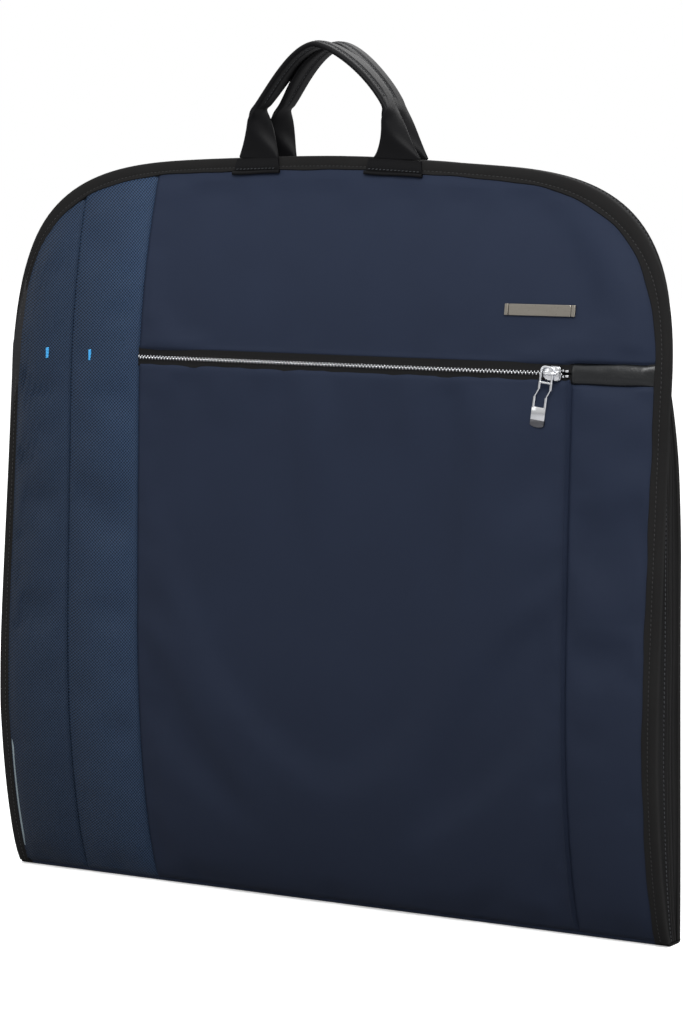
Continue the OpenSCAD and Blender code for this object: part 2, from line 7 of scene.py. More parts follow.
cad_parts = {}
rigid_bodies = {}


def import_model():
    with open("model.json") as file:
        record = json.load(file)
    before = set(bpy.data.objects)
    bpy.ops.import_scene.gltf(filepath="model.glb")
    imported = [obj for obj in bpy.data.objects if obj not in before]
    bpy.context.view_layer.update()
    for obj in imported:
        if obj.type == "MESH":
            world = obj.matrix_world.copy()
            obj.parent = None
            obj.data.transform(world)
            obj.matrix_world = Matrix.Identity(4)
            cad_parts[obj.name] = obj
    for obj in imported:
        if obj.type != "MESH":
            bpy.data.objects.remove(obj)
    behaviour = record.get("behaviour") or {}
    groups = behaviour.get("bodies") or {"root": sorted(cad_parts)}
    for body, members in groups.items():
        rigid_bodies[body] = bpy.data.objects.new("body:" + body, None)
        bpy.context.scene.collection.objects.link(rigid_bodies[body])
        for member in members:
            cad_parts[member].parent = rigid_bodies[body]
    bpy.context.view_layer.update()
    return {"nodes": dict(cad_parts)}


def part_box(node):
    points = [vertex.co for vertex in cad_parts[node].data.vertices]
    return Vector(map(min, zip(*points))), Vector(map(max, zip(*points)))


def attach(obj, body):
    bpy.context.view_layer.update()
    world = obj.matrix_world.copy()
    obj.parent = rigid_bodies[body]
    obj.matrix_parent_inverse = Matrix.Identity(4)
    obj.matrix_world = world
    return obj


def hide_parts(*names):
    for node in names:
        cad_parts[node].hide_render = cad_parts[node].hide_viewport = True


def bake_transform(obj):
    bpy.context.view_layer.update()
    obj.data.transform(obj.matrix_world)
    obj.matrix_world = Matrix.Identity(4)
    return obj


mm = 0.001                              # metres in a millimetre

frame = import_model()
print("frame loaded")

# ---- camera: a long lens, a little to the right of the bag's front ----
cameraShot = {"place": (1.2552, -2.1685, 0.5387), "along": (-0.49761, 0.86189, -0.09758),
              "roll": 0.0089, "lens": 119.15}
cameraData = bpy.data.cameras.new("bagCamera")
cameraData.lens = cameraShot["lens"]
cameraData.sensor_fit = "VERTICAL"
cameraData.sensor_height = 36.0
cameraData.clip_end = 100.0
bagCamera = bpy.data.objects.new("bagCamera", cameraData)
bpy.context.scene.collection.objects.link(bagCamera)
alongView = Vector(cameraShot["along"]).normalized()
sideways = alongView.cross(Vector((0, 0, 1))).normalized()
upright = sideways.cross(alongView).normalized()
rolledSide = (sideways + cameraShot["roll"] * upright).normalized()
rolledUp = (upright - cameraShot["roll"] * sideways).normalized()
bagCamera.matrix_world = Matrix((
    (rolledSide.x, rolledUp.x, -alongView.x, cameraShot["place"][0]),
    (rolledSide.y, rolledUp.y, -alongView.y, cameraShot["place"][1]),
    (rolledSide.z, rolledUp.z, -alongView.z, cameraShot["place"][2]),
    (0, 0, 0, 1)))
bpy.context.scene.camera = bagCamera

# ---- the bag's shape, in millimetres ----
bag = {"half": 280.0, "height": 554.0, "crownFlat": 85.0, "crownRun": 205.0, "turn": 398.0,
       "pull": 144.0, "rearSlump": 70.0, "footTop": 2.7, "panel": 2.4,
       "seamOuter": -215.0, "seamInner": -150.0, "seamSide": 210.0, "zip": 405.0,
       "mainZip": 175.0, "mainTop": 484.0, "mainSlider": 475.0}


def clamp(t, low=0.0, high=1.0):
    return max(low, min(high, t))


def smooth(t):
    t = clamp(t)
    return t * t * (3 - 2 * t)


def shoulderPoint(t, inset, slump):
    turn = bag["turn"] - slump
    side = bag["half"] - inset
    top = bag["height"] - inset
    corners = ((bag["crownFlat"], top), (bag["crownRun"] - inset, top),
               (side, turn + bag["pull"] - inset), (side, turn))
    shares = ((1 - t) ** 3, 3 * (1 - t) ** 2 * t, 3 * (1 - t) * t * t, t ** 3)
    return (sum(s * c[0] for s, c in zip(shares, corners)),
            sum(s * c[1] for s, c in zip(shares, corners)))


# depths of the faces: where they start at the foot, what they add, and what the corners lose
faceShape = {"foot": 9.0, "swell": 32.0, "swellHeight": 200.0, "swellPower": 0.65,
             "crown": 13 / 41, "crownHeight": 170.0, "crownDrop": 0.25,
             "bulge": 3.2, "bulgeFrom": 40.0, "bulgeRun": 480.0, "edge": 270.0,
             "edgePower": 4.76, "drop": 17.0, "dropFrom": 130.0, "dropRun": 350.0,
             "leftDrop": 5.0}
rearShape = {"foot": 9.0, "lean": 2.0, "bow": 10.0, "bowPower": 1.3, "drop": 11.0,
             "dropFrom": 270.0, "dropRun": 140.0}
parting = {"depth": 19.0, "rise": 90.0, "thin": 80.0, "least": 0.1, "share": 0.5,
           "shareLoss": 0.2, "shareFrom": 190.0, "shareRun": 140.0, "edgePower": 6}
topCache = {}


def topOf(x, inset=0.0, slump=0.0):
    # height of the outline above a place across the bag
    key = (round(abs(x), 1), round(inset, 2), slump)
    if key not in topCache:
        if key[0] <= bag["crownFlat"]:
            topCache[key] = bag["height"] - inset
        elif key[0] >= bag["half"] - inset:
            topCache[key] = bag["turn"] - slump
        else:
            low, high = 0.0, 1.0
            for _ in range(26):
                middle = (low + high) / 2
                if shoulderPoint(middle, inset, slump)[0] < key[0]:
                    low = middle
                else:
                    high = middle
            topCache[key] = shoulderPoint(low, inset, slump)[1]
    return topCache[key]


def footSwell(z):
    return (1 - (1 - clamp(z / faceShape["swellHeight"])) ** 2) ** faceShape["swellPower"]


def crownThin(z, share):
    left = clamp((bag["height"] - z) / faceShape["crownHeight"])
    return share + (1 - share) * (1 - (1 - left) ** 2)


def frontFace(x, z):
    # the front swells out in its middle and drops back towards its upper corners
    depth = faceShape["foot"] + faceShape["swell"] * footSwell(z)
    centre = -depth * crownThin(z, faceShape["crown"])
    centre -= faceShape["bulge"] * max(0.0, math.sin(
        math.pi * clamp((z - faceShape["bulgeFrom"]) / faceShape["bulgeRun"])))
    edge = abs(x / faceShape["edge"]) ** faceShape["edgePower"]
    drop = faceShape["drop"] * clamp((z - faceShape["dropFrom"]) / faceShape["dropRun"]) * edge
    if x < 0:
        rise = smooth(z / 200) * edge
        drop += faceShape["leftDrop"] * rise * (0.4 + 0.6 * smooth((z - 150) / 200))
    return centre + drop * crownThin(z, faceShape["crownDrop"])


def rearFace(x, z):
    rise = z / bag["height"]
    bow = math.sin(math.pi * clamp(rise) ** rearShape["bowPower"])
    plain = rearShape["foot"] - rearShape["lean"] * rise - rearShape["bow"] * bow
    corner = smooth((z - rearShape["dropFrom"]) / rearShape["dropRun"])
    return plain - rearShape["drop"] * corner * abs(x / bag["half"]) ** 5


def partingFace(x, z):
    # where the two halves lie against each other
    taper = parting["least"] + (1 - parting["least"]) * math.sin(
        math.pi / 2 * clamp((topOf(x) - z) / parting["thin"]))
    middle = -parting["depth"] * math.sin(math.pi / 2 * clamp(z / parting["rise"])) * taper
    share = parting["share"] - parting["shareLoss"] * smooth(
        (z - parting["shareFrom"]) / parting["shareRun"])
    outer = frontFace(x, z) + share * (rearFace(x, z) - frontFace(x, z))
    weight = abs(x / bag["half"]) ** parting["edgePower"]
    return middle * (1 - weight) + outer * weight


# ---- making and finishing pieces ----
finishes = {}
crown = {"rise": 1.9, "fallRight": 5.2, "fallLeft": 3.0, "reach": 140.0, "from": 430.0,
         "over": 110.0}


def bowCrown(mesh):
    # the crown stands a little higher in its middle than over the shoulders
    for vertex in mesh.vertices:
        x, z = vertex.co.x * 1000, vertex.co.z * 1000
        share = smooth((z - crown["from"]) / crown["over"])
        if share > 0:
            fall = crown["fallRight"] if x > 0 else crown["fallLeft"]
            lift = crown["rise"] - fall * smooth(abs(x) / crown["reach"])
            vertex.co.z += lift * share * mm


def linkPiece(name, data):
    piece = bpy.data.objects.new(name, data)
    bpy.context.scene.collection.objects.link(piece)
    return piece


def pickOnly(*pieces):
    for other in bpy.context.view_layer.objects:
        other.select_set(False)
    for piece in pieces:
        piece.select_set(True)
    bpy.context.view_layer.objects.active = pieces[0]


def turnOutward(mesh, weld=False):
    work = bmesh.new()
    work.from_mesh(mesh)
    if weld:
        bmesh.ops.remove_doubles(work, verts=work.verts, dist=1e-6)
    bmesh.ops.recalc_face_normals(work, faces=work.faces)
    work.to_mesh(mesh)
    work.free()


def meshPiece(name, points, faces, angle=35):
    # points in millimetres
    mesh = bpy.data.meshes.new(name)
    mesh.from_pydata([tuple(c * mm for c in p) for p in points], [], faces)
    turnOutward(mesh)
    piece = linkPiece(name, mesh)
    smoothPiece(piece, angle)
    return piece


def smoothPiece(piece, angle=35):
    pickOnly(piece)
    bpy.ops.object.shade_smooth_by_angle(angle=math.radians(angle))


def finishPiece(piece, body, slotName, finish, *nodes):
    if piece.matrix_world != Matrix.Identity(4):
        piece.data.transform(piece.matrix_world)
        piece.matrix_world = Matrix.Identity(4)
    piece.data.materials.clear()
    piece.data.materials.append(finishes[finish])
    if body in ("front_half", "rear_half"):
        bowCrown(piece.data)
    if body:
        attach(piece, body)
    if nodes:
        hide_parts(*nodes)
    return piece


def joinPieces(name, *pieces):
    pickOnly(*pieces)
    bpy.ops.object.join()
    joined = bpy.context.view_layer.objects.active
    joined.name = name
    joined.data.name = name
    return joined


def repeatPiece(name, source, places):
    # copies of one small modelled piece, each with its own mesh
    copies = []
    for place in places:
        copy = source.copy()
        copy.data = source.data.copy()
        copy.data.transform(place)
        bpy.context.scene.collection.objects.link(copy)
        copies.append(copy)
    bpy.data.objects.remove(source)
    return joinPieces(name, *copies)


def applyAll(piece):
    pickOnly(piece)
    for modifier in list(piece.modifiers):
        bpy.ops.object.modifier_apply(modifier=modifier.name)
    return piece


def bevelPiece(piece, width, segments=2, angle=30):
    bevel = piece.modifiers.new("edge", "BEVEL")
    bevel.width = width * mm
    bevel.segments = segments
    bevel.limit_method = "ANGLE"
    bevel.angle_limit = math.radians(angle)
    return applyAll(piece)


def blockPiece(name, size, centre, bevel=0.3, segments=2):
    # a rounded block, added at its size and place
    pickOnly(bagCamera)
    bpy.ops.mesh.primitive_cube_add(size=1)
    piece = bpy.context.active_object
    piece.name = name
    piece.data.transform(Matrix.Translation(Vector(centre) * mm)
                         @ Matrix.Diagonal((*(s * mm for s in size), 1)))
    bevelPiece(piece, bevel, segments)
    smoothPiece(piece, 40)
    return piece


def wirePiece(name, points, radius, closed=False, sides=4):
    # a bent wire through points, in millimetres, as a mesh
    curve = bpy.data.curves.new(name, "CURVE")
    curve.dimensions = "3D"
    curve.bevel_depth = radius * mm
    curve.bevel_resolution = sides
    curve.use_fill_caps = True
    spline = curve.splines.new("POLY")
    spline.points.add(len(points) - 1)
    for spot, p in zip(spline.points, points):
        spot.co = (p[0] * mm, p[1] * mm, p[2] * mm, 1)
    spline.use_cyclic_u = closed
    pickOnly(linkPiece(name, curve))
    bpy.ops.object.convert(target="MESH")
    piece = bpy.context.active_object
    turnOutward(piece.data, weld=True)
    smoothPiece(piece, 50)
    return piece


def roundedLoop(x0, x1, z0, z1, y, radii, steps=5):
    # corner order: lower left, lower right, upper right, upper left
    centres = ((x0 + radii[0], z0 + radii[0], 180), (x1 - radii[1], z0 + radii[1], 270),
               (x1 - radii[2], z1 - radii[2], 0), (x0 + radii[3], z1 - radii[3], 90))
    points = []
    for (cx, cz, start), r in zip(centres, radii):
        for i in range(steps + 1):
            a = math.radians(start + 90 * i / steps)
            points.append((cx + r * math.cos(a), y, cz + r * math.sin(a)))
    return points


def platePiece(name, outlineXZ, yNear, yFar, bevel):
    # a flat plate of any outline, extruded through its thickness and beveled
    mesh = bpy.data.meshes.new(name)
    mesh.from_pydata([(x * mm, yNear * mm, z * mm) for x, z in outlineXZ], [],
                     [list(range(len(outlineXZ)))])
    piece = linkPiece(name, mesh)
    pickOnly(piece)
    bpy.ops.object.mode_set(mode="EDIT")
    bpy.ops.mesh.select_all(action="SELECT")
    bpy.ops.mesh.extrude_region_move(
        TRANSFORM_OT_translate={"value": (0, (yFar - yNear) * mm, 0)})
    bpy.ops.mesh.select_all(action="SELECT")
    bpy.ops.mesh.normals_make_consistent(inside=False)
    bpy.ops.object.mode_set(mode="OBJECT")
    bevelPiece(piece, bevel, 2)
    smoothPiece(piece, 40)
    return piece


def closedGrid(name, front, back, angle):
    # two grids of points that face each other, closed round their rim
    rows, cols = len(front), len(front[0])
    points = [p for row in front for p in row] + [p for row in back for p in row]
    half = rows * cols
    faces = []
    for r in range(rows - 1):
        for c in range(cols - 1):
            a, b = r * cols + c, (r + 1) * cols + c
            faces.append((a, a + 1, b + 1, b))
            faces.append((half + a, half + b, half + b + 1, half + a + 1))
    rim = [c for c in range(cols)]
    rim += [r * cols + cols - 1 for r in range(1, rows)]
    rim += [(rows - 1) * cols + c for c in range(cols - 2, -1, -1)]
    rim += [r * cols for r in range(rows - 2, 0, -1)]
    for i, a in enumerate(rim):
        b = rim[(i + 1) % len(rim)]
        faces.append((a, b, half + b, half + a))
    return meshPiece(name, points, faces, angle)


def slabPiece(name, places, column, angle=50):
    # column gives the (front, back) points of a place, from one end of the piece to the other
    pairs = [list(column(place)) for place in places]
    return closedGrid(name, [[front for front, _ in c] for c in pairs],
                      [[back for _, back in c] for c in pairs], angle)


def evenly(low, high, count):
    return [low + (high - low) * i / count for i in range(count + 1)]


def outlineStations(slump, low, step=8.0):
    # places along the outline from the lower left, over the crown, to the lower right
    turn = bag["turn"] - slump
    sideCount = int((turn - low) / step) + 1
    stations = []
    for i in range(sideCount):
        z = low + (turn - low) * i / sideCount
        stations.append(lambda inset, z=z: (-(bag["half"] - inset), z))
    for i in range(40, 0, -1):
        stations.append(lambda inset, t=i / 40: (-shoulderPoint(t, inset, slump)[0],
                                                 shoulderPoint(t, inset, slump)[1]))
    for i in range(25):
        x = -bag["crownFlat"] + 2 * bag["crownFlat"] * i / 24
        stations.append(lambda inset, x=x: (x, bag["height"] - inset))
    for i in range(1, 41):
        stations.append(lambda inset, t=i / 40: shoulderPoint(t, inset, slump))
    for i in range(1, sideCount + 1):
        z = turn + (low - turn) * i / sideCount
        stations.append(lambda inset, z=z: (bag["half"] - inset, z))
    return stations


def tubeFaces(rings, count):
    # rings of count points each, joined one to the next and capped at both ends
    faces = []
    for s in range(rings - 1):
        for i in range(count):
            j = (i + 1) % count
            faces.append((s * count + i, s * count + j, (s + 1) * count + j, (s + 1) * count + i))
    faces.append(tuple(range(count)))
    faces.append(tuple((rings - 1) * count + i for i in range(count)))
    return faces


def ringPiece(name, stations, profile, angle=45):
    # a closed profile of (inset, depth) pairs carried round the outline
    points = []
    travelled, last = 0.0, None
    for station in stations:
        here = station(0.0)
        if last:
            travelled += math.dist(here, last)
        last = here
        loop = profile(travelled, here[0], here[1])
        for inset, depth in loop:
            x, z = station(inset)
            points.append((x, depth(x, z), z))
    return meshPiece(name, points, tubeFaces(len(stations), len(loop)), angle)


def facing(surface, shift):
    return lambda x, z: surface(x, z) + shift


# ---- finishes ----
finishSpecs = {
    # painted light: topLightRamp makes the cloth darker at the foot and lighter at the top, as
    # light falls from above
    "navyFabric": {"colour": (0.0100, 0.0148, 0.0300), "accent": (0.0160, 0.0228, 0.0430),
                   "rough": 0.68, "weave": "twill", "pitch": (0.9, 0.9),
                   "bump": 0.05, "mottle": 0.10, "gloss": 0.12, "topLightRamp": (0.80, 1.22)},
    "texturedFabric": {"colour": (0.0008, 0.0028, 0.0075), "accent": (0.0180, 0.0370, 0.0760),
                       "rough": 0.55, "weave": "dobby", "pitch": (1.38, 1.24),
                       "bump": 0.45, "mottle": 0.12, "gloss": 0.2, "topLightRamp": (0.82, 1.25),
                       # painted light: paintedSideLight makes the textured strips lighter towards
                       # their right-hand side, where the light falls
                       "paintedSideLight": (-275.0, -150.0, 0.72, 1.42)},
    # painted light: a lighter copy of the navy cloth, to lift the shade under the bag's foot
    "foldFabricPaintedLight": {"colour": (0.0170, 0.0230, 0.0430), "accent": (0.0260, 0.0350, 0.0610),
                   "rough": 0.8, "weave": "twill", "pitch": (0.9, 0.9),
                   "bump": 0.05, "mottle": 0.10, "gloss": 0.08},
    "bindingTape": {"colour": (0.0055, 0.0054, 0.0053), "accent": (0.0140, 0.0136, 0.0135),
                    "rough": 0.8, "weave": "rib", "pitch": (1.1, 1.1),
                    "bump": 0.10, "mottle": 0.25, "gloss": 0.12},
    "gussetFabric": {"colour": (0.0036, 0.0036, 0.0037), "accent": (0.0090, 0.0088, 0.0090),
                     "rough": 0.8, "weave": "plain", "pitch": (1.2, 1.2),
                     "bump": 0.10, "mottle": 0.2, "gloss": 0.12},
    "liningFabric": {"colour": (0.0055, 0.0055, 0.0065), "accent": (0.0110, 0.0110, 0.0130),
                     "rough": 0.45, "weave": "ripstop", "pitch": (5.0, 5.0),
                     "bump": 0.06, "mottle": 0.2, "gloss": 0.3},
    "pocketLining": {"colour": (0.0200, 0.0200, 0.0230), "accent": (0.0300, 0.0300, 0.0340),
                     "rough": 0.5, "weave": "plain", "pitch": (1.0, 1.0),
                     "bump": 0.06, "mottle": 0.2, "gloss": 0.3},
    "zipTape": {"colour": (0.0050, 0.0050, 0.0052), "accent": (0.0120, 0.0120, 0.0124),
                "rough": 0.75, "weave": "rib", "pitch": (0.8, 0.8),
                "bump": 0.12, "mottle": 0.2, "gloss": 0.12},
    "zipTeeth": {"colour": (0.72, 0.73, 0.75), "accent": (0.85, 0.86, 0.88), "rough": 0.24,
                 "metallic": 1.0, "weave": "cast", "pitch": (1.0, 1.0), "bump": 0.01,
                 "mottle": 0.05},
    "chrome": {"colour": (0.74, 0.75, 0.77), "accent": (0.86, 0.87, 0.89), "rough": 0.13,
               "metallic": 1.0, "weave": "cast", "pitch": (3.0, 3.0), "bump": 0.02,
               "mottle": 0.05},
    "darkMetal": {"colour": (0.10, 0.10, 0.11), "accent": (0.17, 0.17, 0.18), "rough": 0.3,
                  "metallic": 1.0, "weave": "cast", "pitch": (3.0, 3.0), "bump": 0.02,
                  "mottle": 0.1},
    "badgeMetal": {"colour": (0.245, 0.225, 0.195), "accent": (0.345, 0.32, 0.28), "rough": 0.3,
                   "metallic": 1.0, "weave": "brushed", "pitch": (0.25, 9.0), "bump": 0.01,
                   "mottle": 0.08},
    "leatherette": {"colour": (0.0040, 0.0047, 0.0054), "accent": (0.0080, 0.0090, 0.0100),
                    "rough": 0.3, "weave": "grain", "pitch": (1.5, 1.5), "bump": 0.10,
                    "mottle": 0.15, "gloss": 0.42},
    "handleTwill": {"colour": (0.0030, 0.0030, 0.0035), "accent": (0.0060, 0.0060, 0.0068),
                    "rough": 0.48, "weave": "twill", "pitch": (0.9, 0.9),
                    "bump": 0.012, "mottle": 0.15, "gloss": 0.10},
    "threadBlack": {"colour": (0.0050, 0.0050, 0.0055), "accent": (0.016, 0.016, 0.017),
                    "rough": 0.5, "weave": "twill", "pitch": (0.4, 0.4), "bump": 0.05,
                    "mottle": 0.1},
    "threadGrey": {"colour": (0.020, 0.022, 0.025), "accent": (0.050, 0.055, 0.062),
                   "rough": 0.5, "weave": "twill", "pitch": (0.4, 0.4), "bump": 0.05,
                   "mottle": 0.1},
    "tackThread": {"colour": (0.008, 0.30, 0.72), "accent": (0.10, 0.52, 0.92), "rough": 0.42,
                   "weave": "rib", "pitch": (0.7, 0.7), "bump": 0.10,
                   "mottle": 0.1},
    "pipingCord": {"colour": (0.14, 0.18, 0.20), "accent": (0.22, 0.27, 0.29), "rough": 0.45,
                   "weave": "rib", "pitch": (0.9, 0.9), "bump": 0.06, "mottle": 0.1},
    "bracketPlastic": {"colour": (0.010, 0.010, 0.011), "accent": (0.018, 0.018, 0.019),
                       "rough": 0.42, "weave": "grain", "pitch": (0.6, 0.6), "bump": 0.03,
                       "mottle": 0.1},
    "rivetSteel": {"colour": (0.48, 0.48, 0.50), "accent": (0.6, 0.6, 0.62), "rough": 0.25,
                   "metallic": 1.0, "weave": "cast", "pitch": (1.0, 1.0), "bump": 0.01,
                   "mottle": 0.1},
}


class NodeBench:
    # a short hand for laying out shader nodes
    def __init__(self, name):
        self.material = bpy.data.materials.new(name)
        self.material.use_nodes = True
        self.tree = self.material.node_tree
        self.shader = self.tree.nodes["Principled BSDF"]

    def node(self, kind, **settings):
        made = self.tree.nodes.new(kind)
        for key, value in settings.items():
            setattr(made, key, value)
        return made

    def plug(self, source, target):
        self.tree.links.new(source, target)

    def sums(self, operation, first, second=None):
        made = self.node("ShaderNodeMath", operation=operation)
        for index, value in enumerate((first, second)):
            if value is None:
                continue
            if isinstance(value, (int, float)):
                made.inputs[index].default_value = value
            else:
                self.plug(value, made.inputs[index])
        return made.outputs[0]

    def wave(self, kind, source, turns):
        return self.sums(kind, self.sums("MULTIPLY", source, turns))

    def scaled(self, source, factor, shift):
        return self.sums("ADD", self.sums("MULTIPLY", source, factor), shift)

    def noise(self, spot, scale, detail):
        made = self.node("ShaderNodeTexNoise")
        made.inputs["Scale"].default_value = scale
        made.inputs["Detail"].default_value = detail
        self.plug(spot, made.inputs["Vector"])
        return made.outputs["Fac"]

    def stretched(self, source, *limits):
        # a range carried over to another range
        made = self.node("ShaderNodeMapRange")
        for socket, limit in zip(("From Min", "From Max", "To Min", "To Max"), limits):
            made.inputs[socket].default_value = limit
        self.plug(source, made.inputs["Value"])
        return made.outputs["Result"]


def patternOf(bench, spec, across, up, spot):
    # a height from 0 to 1 for each kind of cloth, grain or metal
    px, pz = spec["pitch"]
    kind = spec["weave"]
    turnX, turnZ = 2 * math.pi / px, 2 * math.pi / pz
    if kind == "dobby":
        checks = bench.sums("MULTIPLY", bench.wave("COSINE", across, math.pi / px),
                            bench.wave("COSINE", up, math.pi / pz))
        raw = bench.scaled(checks, 2.2, 0.15)
    elif kind == "twill":
        raw = bench.wave("SINE", bench.sums("ADD", across, up), turnX)
    elif kind == "plain":
        raw = bench.sums("MULTIPLY", bench.wave("SINE", across, turnX),
                         bench.wave("SINE", up, turnZ))
    elif kind == "rib":
        raw = bench.sums("MULTIPLY", bench.wave("SINE", bench.sums("ADD", across, up), turnX),
                         bench.wave("SINE", bench.sums("SUBTRACT", across, up), turnZ))
    elif kind == "ripstop":
        ribs = bench.sums("MAXIMUM", bench.wave("COSINE", across, turnX),
                          bench.wave("COSINE", up, turnZ))
        raw = bench.scaled(bench.sums("POWER", ribs, 12.0), 2.0, -1.0)
    elif kind == "grain":
        cells = bench.node("ShaderNodeTexVoronoi", feature="SMOOTH_F1")
        cells.inputs["Scale"].default_value = 1.0 / px
        bench.plug(spot, cells.inputs["Vector"])
        raw = bench.scaled(cells.outputs["Distance"], 2.4, -1.0)
    else:
        if kind == "brushed":
            stretch = bench.node("ShaderNodeMapping")
            stretch.inputs["Scale"].default_value = (1 / pz, 1.0, 1 / px)
            bench.plug(spot, stretch.inputs["Vector"])
            spot = stretch.outputs["Vector"]
        speckle = bench.noise(spot, 1.0 if kind == "brushed" else 0.5 / px, 4.0)
        raw = bench.scaled(speckle, 3.0, -1.5)
    clamped = bench.node("ShaderNodeClamp")
    bench.plug(bench.scaled(raw, 0.5, 0.5), clamped.inputs["Value"])
    return clamped.outputs["Result"]


def makeFinish(name, spec):
    bench = NodeBench(name)
    place = bench.node("ShaderNodeTexCoord")
    millimetres = bench.node("ShaderNodeMapping")
    millimetres.inputs["Scale"].default_value = (1000, 1000, 1000)
    bench.plug(place.outputs["Object"], millimetres.inputs["Vector"])
    spot = millimetres.outputs["Vector"]
    split = bench.node("ShaderNodeSeparateXYZ")
    bench.plug(spot, split.inputs["Vector"])
    across = bench.sums("ADD", split.outputs["X"], split.outputs["Y"])
    level = patternOf(bench, spec, across, split.outputs["Z"], spot)

    wander = bench.noise(spot, 0.018, 3.0)          # slow change of tone over the cloth
    fuzz = bench.noise(spot, 1.1, 2.0)              # loose fibres and dust
    weight = bench.sums("ADD", bench.sums("MULTIPLY", level, 0.75),
                        bench.sums("MULTIPLY", fuzz, 0.25))
    blend = bench.node("ShaderNodeMix", data_type="RGBA")
    blend.inputs["A"].default_value = (*spec["colour"], 1)
    blend.inputs["B"].default_value = (*spec["accent"], 1)
    bench.plug(weight, blend.inputs["Factor"])
    tone = bench.node("ShaderNodeHueSaturation")
    bench.plug(blend.outputs["Result"], tone.inputs["Color"])
    value = bench.scaled(wander, 2 * spec["mottle"], 1 - spec["mottle"])
    # painted light: the colour is scaled up towards the top and towards the right, standing in for
    # how the light falls
    paintedLightRanges = [("Z", 0.0, bag["height"], *spec["topLightRamp"])] if "topLightRamp" in spec else []
    paintedLightRanges += [("X", *spec["paintedSideLight"])] if "paintedSideLight" in spec else []
    for axis, *limits in paintedLightRanges:                    # painted light: lighter towards the top, and for the textured strips lighter towards their right-hand side, where the light falls
        value = bench.sums("MULTIPLY", value, bench.stretched(split.outputs[axis], *limits))
    bench.plug(value, tone.inputs["Value"])
    bench.plug(tone.outputs["Color"], bench.shader.inputs["Base Color"])

    bench.plug(bench.scaled(fuzz, 0.12, spec["rough"] - 0.06), bench.shader.inputs["Roughness"])
    bench.shader.inputs["Metallic"].default_value = spec.get("metallic", 0.0)
    bench.shader.inputs["Specular IOR Level"].default_value = spec.get("gloss", 0.5)
    relief = bench.node("ShaderNodeBump")
    relief.inputs["Strength"].default_value = 0.8
    relief.inputs["Distance"].default_value = spec["bump"] * mm
    bench.plug(weight, relief.inputs["Height"])
    bench.plug(relief.outputs["Normal"], bench.shader.inputs["Normal"])
    return bench.material


for finishName, finishSpec in finishSpecs.items():
    finishes[finishName] = makeFinish(finishName, finishSpec)
print("finishes made")


# ---- the cover's cloth: pinned at its seams and edges, slightly full between them ----
drape = {"cells": 54, "x": 272.0, "z": 549.0, "cap": 2.6, "pressure": 0.35, "spare": -0.010,
         "frames": 18}
liftGrid = {}


def seamNear(x, z):
    away = min(abs(x - bag["seamOuter"]), abs(x - bag["seamInner"]),
               abs(z - bag["zip"]) if x > bag["seamInner"] else 99,
               abs(x - bag["seamSide"]) if z < bag["zip"] else 99)
    return away


def drapeCover():
    cells = drape["cells"]
    points, faces, pinned = [], [], []
    for r in range(cells + 1):
        for c in range(cells + 1):
            x = drape["x"] * (2 * c / cells - 1)
            z = drape["z"] * r / cells
            zIn = min(z, topOf(x, 8))
            points.append((x, frontFace(x, zIn), z))
            free = min(1.0, seamNear(x, z) / 14, max(0.0, topOf(x, 8) - z) / 16,
                       (drape["x"] - abs(x)) / 12, z / 12)
            pinned.append(1 - smooth(free))
    for r in range(cells):
        for c in range(cells):
            a = r * (cells + 1) + c
            faces.append((a, a + 1, a + cells + 2, a + cells + 1))
    cover = meshPiece("coverCloth", points, faces)
    group = cover.vertex_groups.new(name="held")
    for index, weight in enumerate(pinned):
        group.add([index], weight, "REPLACE")
    cloth = cover.modifiers.new("cloth", "CLOTH")
    cloth.settings.quality = 6
    cloth.settings.mass = 0.3
    cloth.settings.tension_stiffness = 12
    cloth.settings.compression_stiffness = 12
    cloth.settings.shear_stiffness = 6
    cloth.settings.bending_stiffness = 6
    cloth.settings.vertex_group_mass = "held"
    cloth.settings.pin_stiffness = 4
    cloth.settings.shrink_min = drape["spare"]
    cloth.settings.use_pressure = True
    cloth.settings.uniform_pressure_force = drape["pressure"]
    cloth.settings.effector_weights.gravity = 0.35
    cloth.collision_settings.use_collision = False
    cloth.point_cache.frame_start = 1
    cloth.point_cache.frame_end = drape["frames"]
    scene = bpy.context.scene
    for step in range(1, drape["frames"] + 1):
        scene.frame_set(step)
    applyAll(cover)
    for index, vertex in enumerate(cover.data.vertices):
        moved = vertex.co.y * 1000 - points[index][1]
        liftGrid[index] = clamp(moved, -drape["cap"], drape["cap"]) * (1 - pinned[index])
    scene.frame_set(1)
    bpy.data.objects.remove(cover)


def clothLift(x, z):
    cells = drape["cells"]
    c = clamp((x / drape["x"] + 1) / 2 * cells, 0, cells - 0.001)
    r = clamp(z / drape["z"] * cells, 0, cells - 0.001)
    if not liftGrid:
        return 0.4 * math.sin(x / 47) * math.sin(z / 61)
    c0, r0 = int(c), int(r)
    u, v = smooth(c - c0), smooth(r - r0)
    corner = r0 * (cells + 1) + c0
    low = liftGrid[corner] * (1 - u) + liftGrid[corner + 1] * u
    high = liftGrid[corner + cells + 1] * (1 - u) + liftGrid[corner + cells + 2] * u
    return low * (1 - v) + high * v


drapeCover()
print("cover draped", round(min(liftGrid.values(), default=0), 2),
      round(max(liftGrid.values(), default=0), 2))


# ---- front: five foam-backed panels ----
def spread(low, high, step):
    # places from low to high, close together beside the seam at each end
    ramp = (0.0, 0.5, 1.1, 1.9, 3.0, 4.6, 7.0, 10.5)
    start = [low + r for r in ramp]
    end = [high - r for r in reversed(ramp)]
    room = end[0] - start[-1]
    count = max(1, round(room / step))
    middle = [start[-1] + room * i / count for i in range(1, count)]
    return start + middle + end


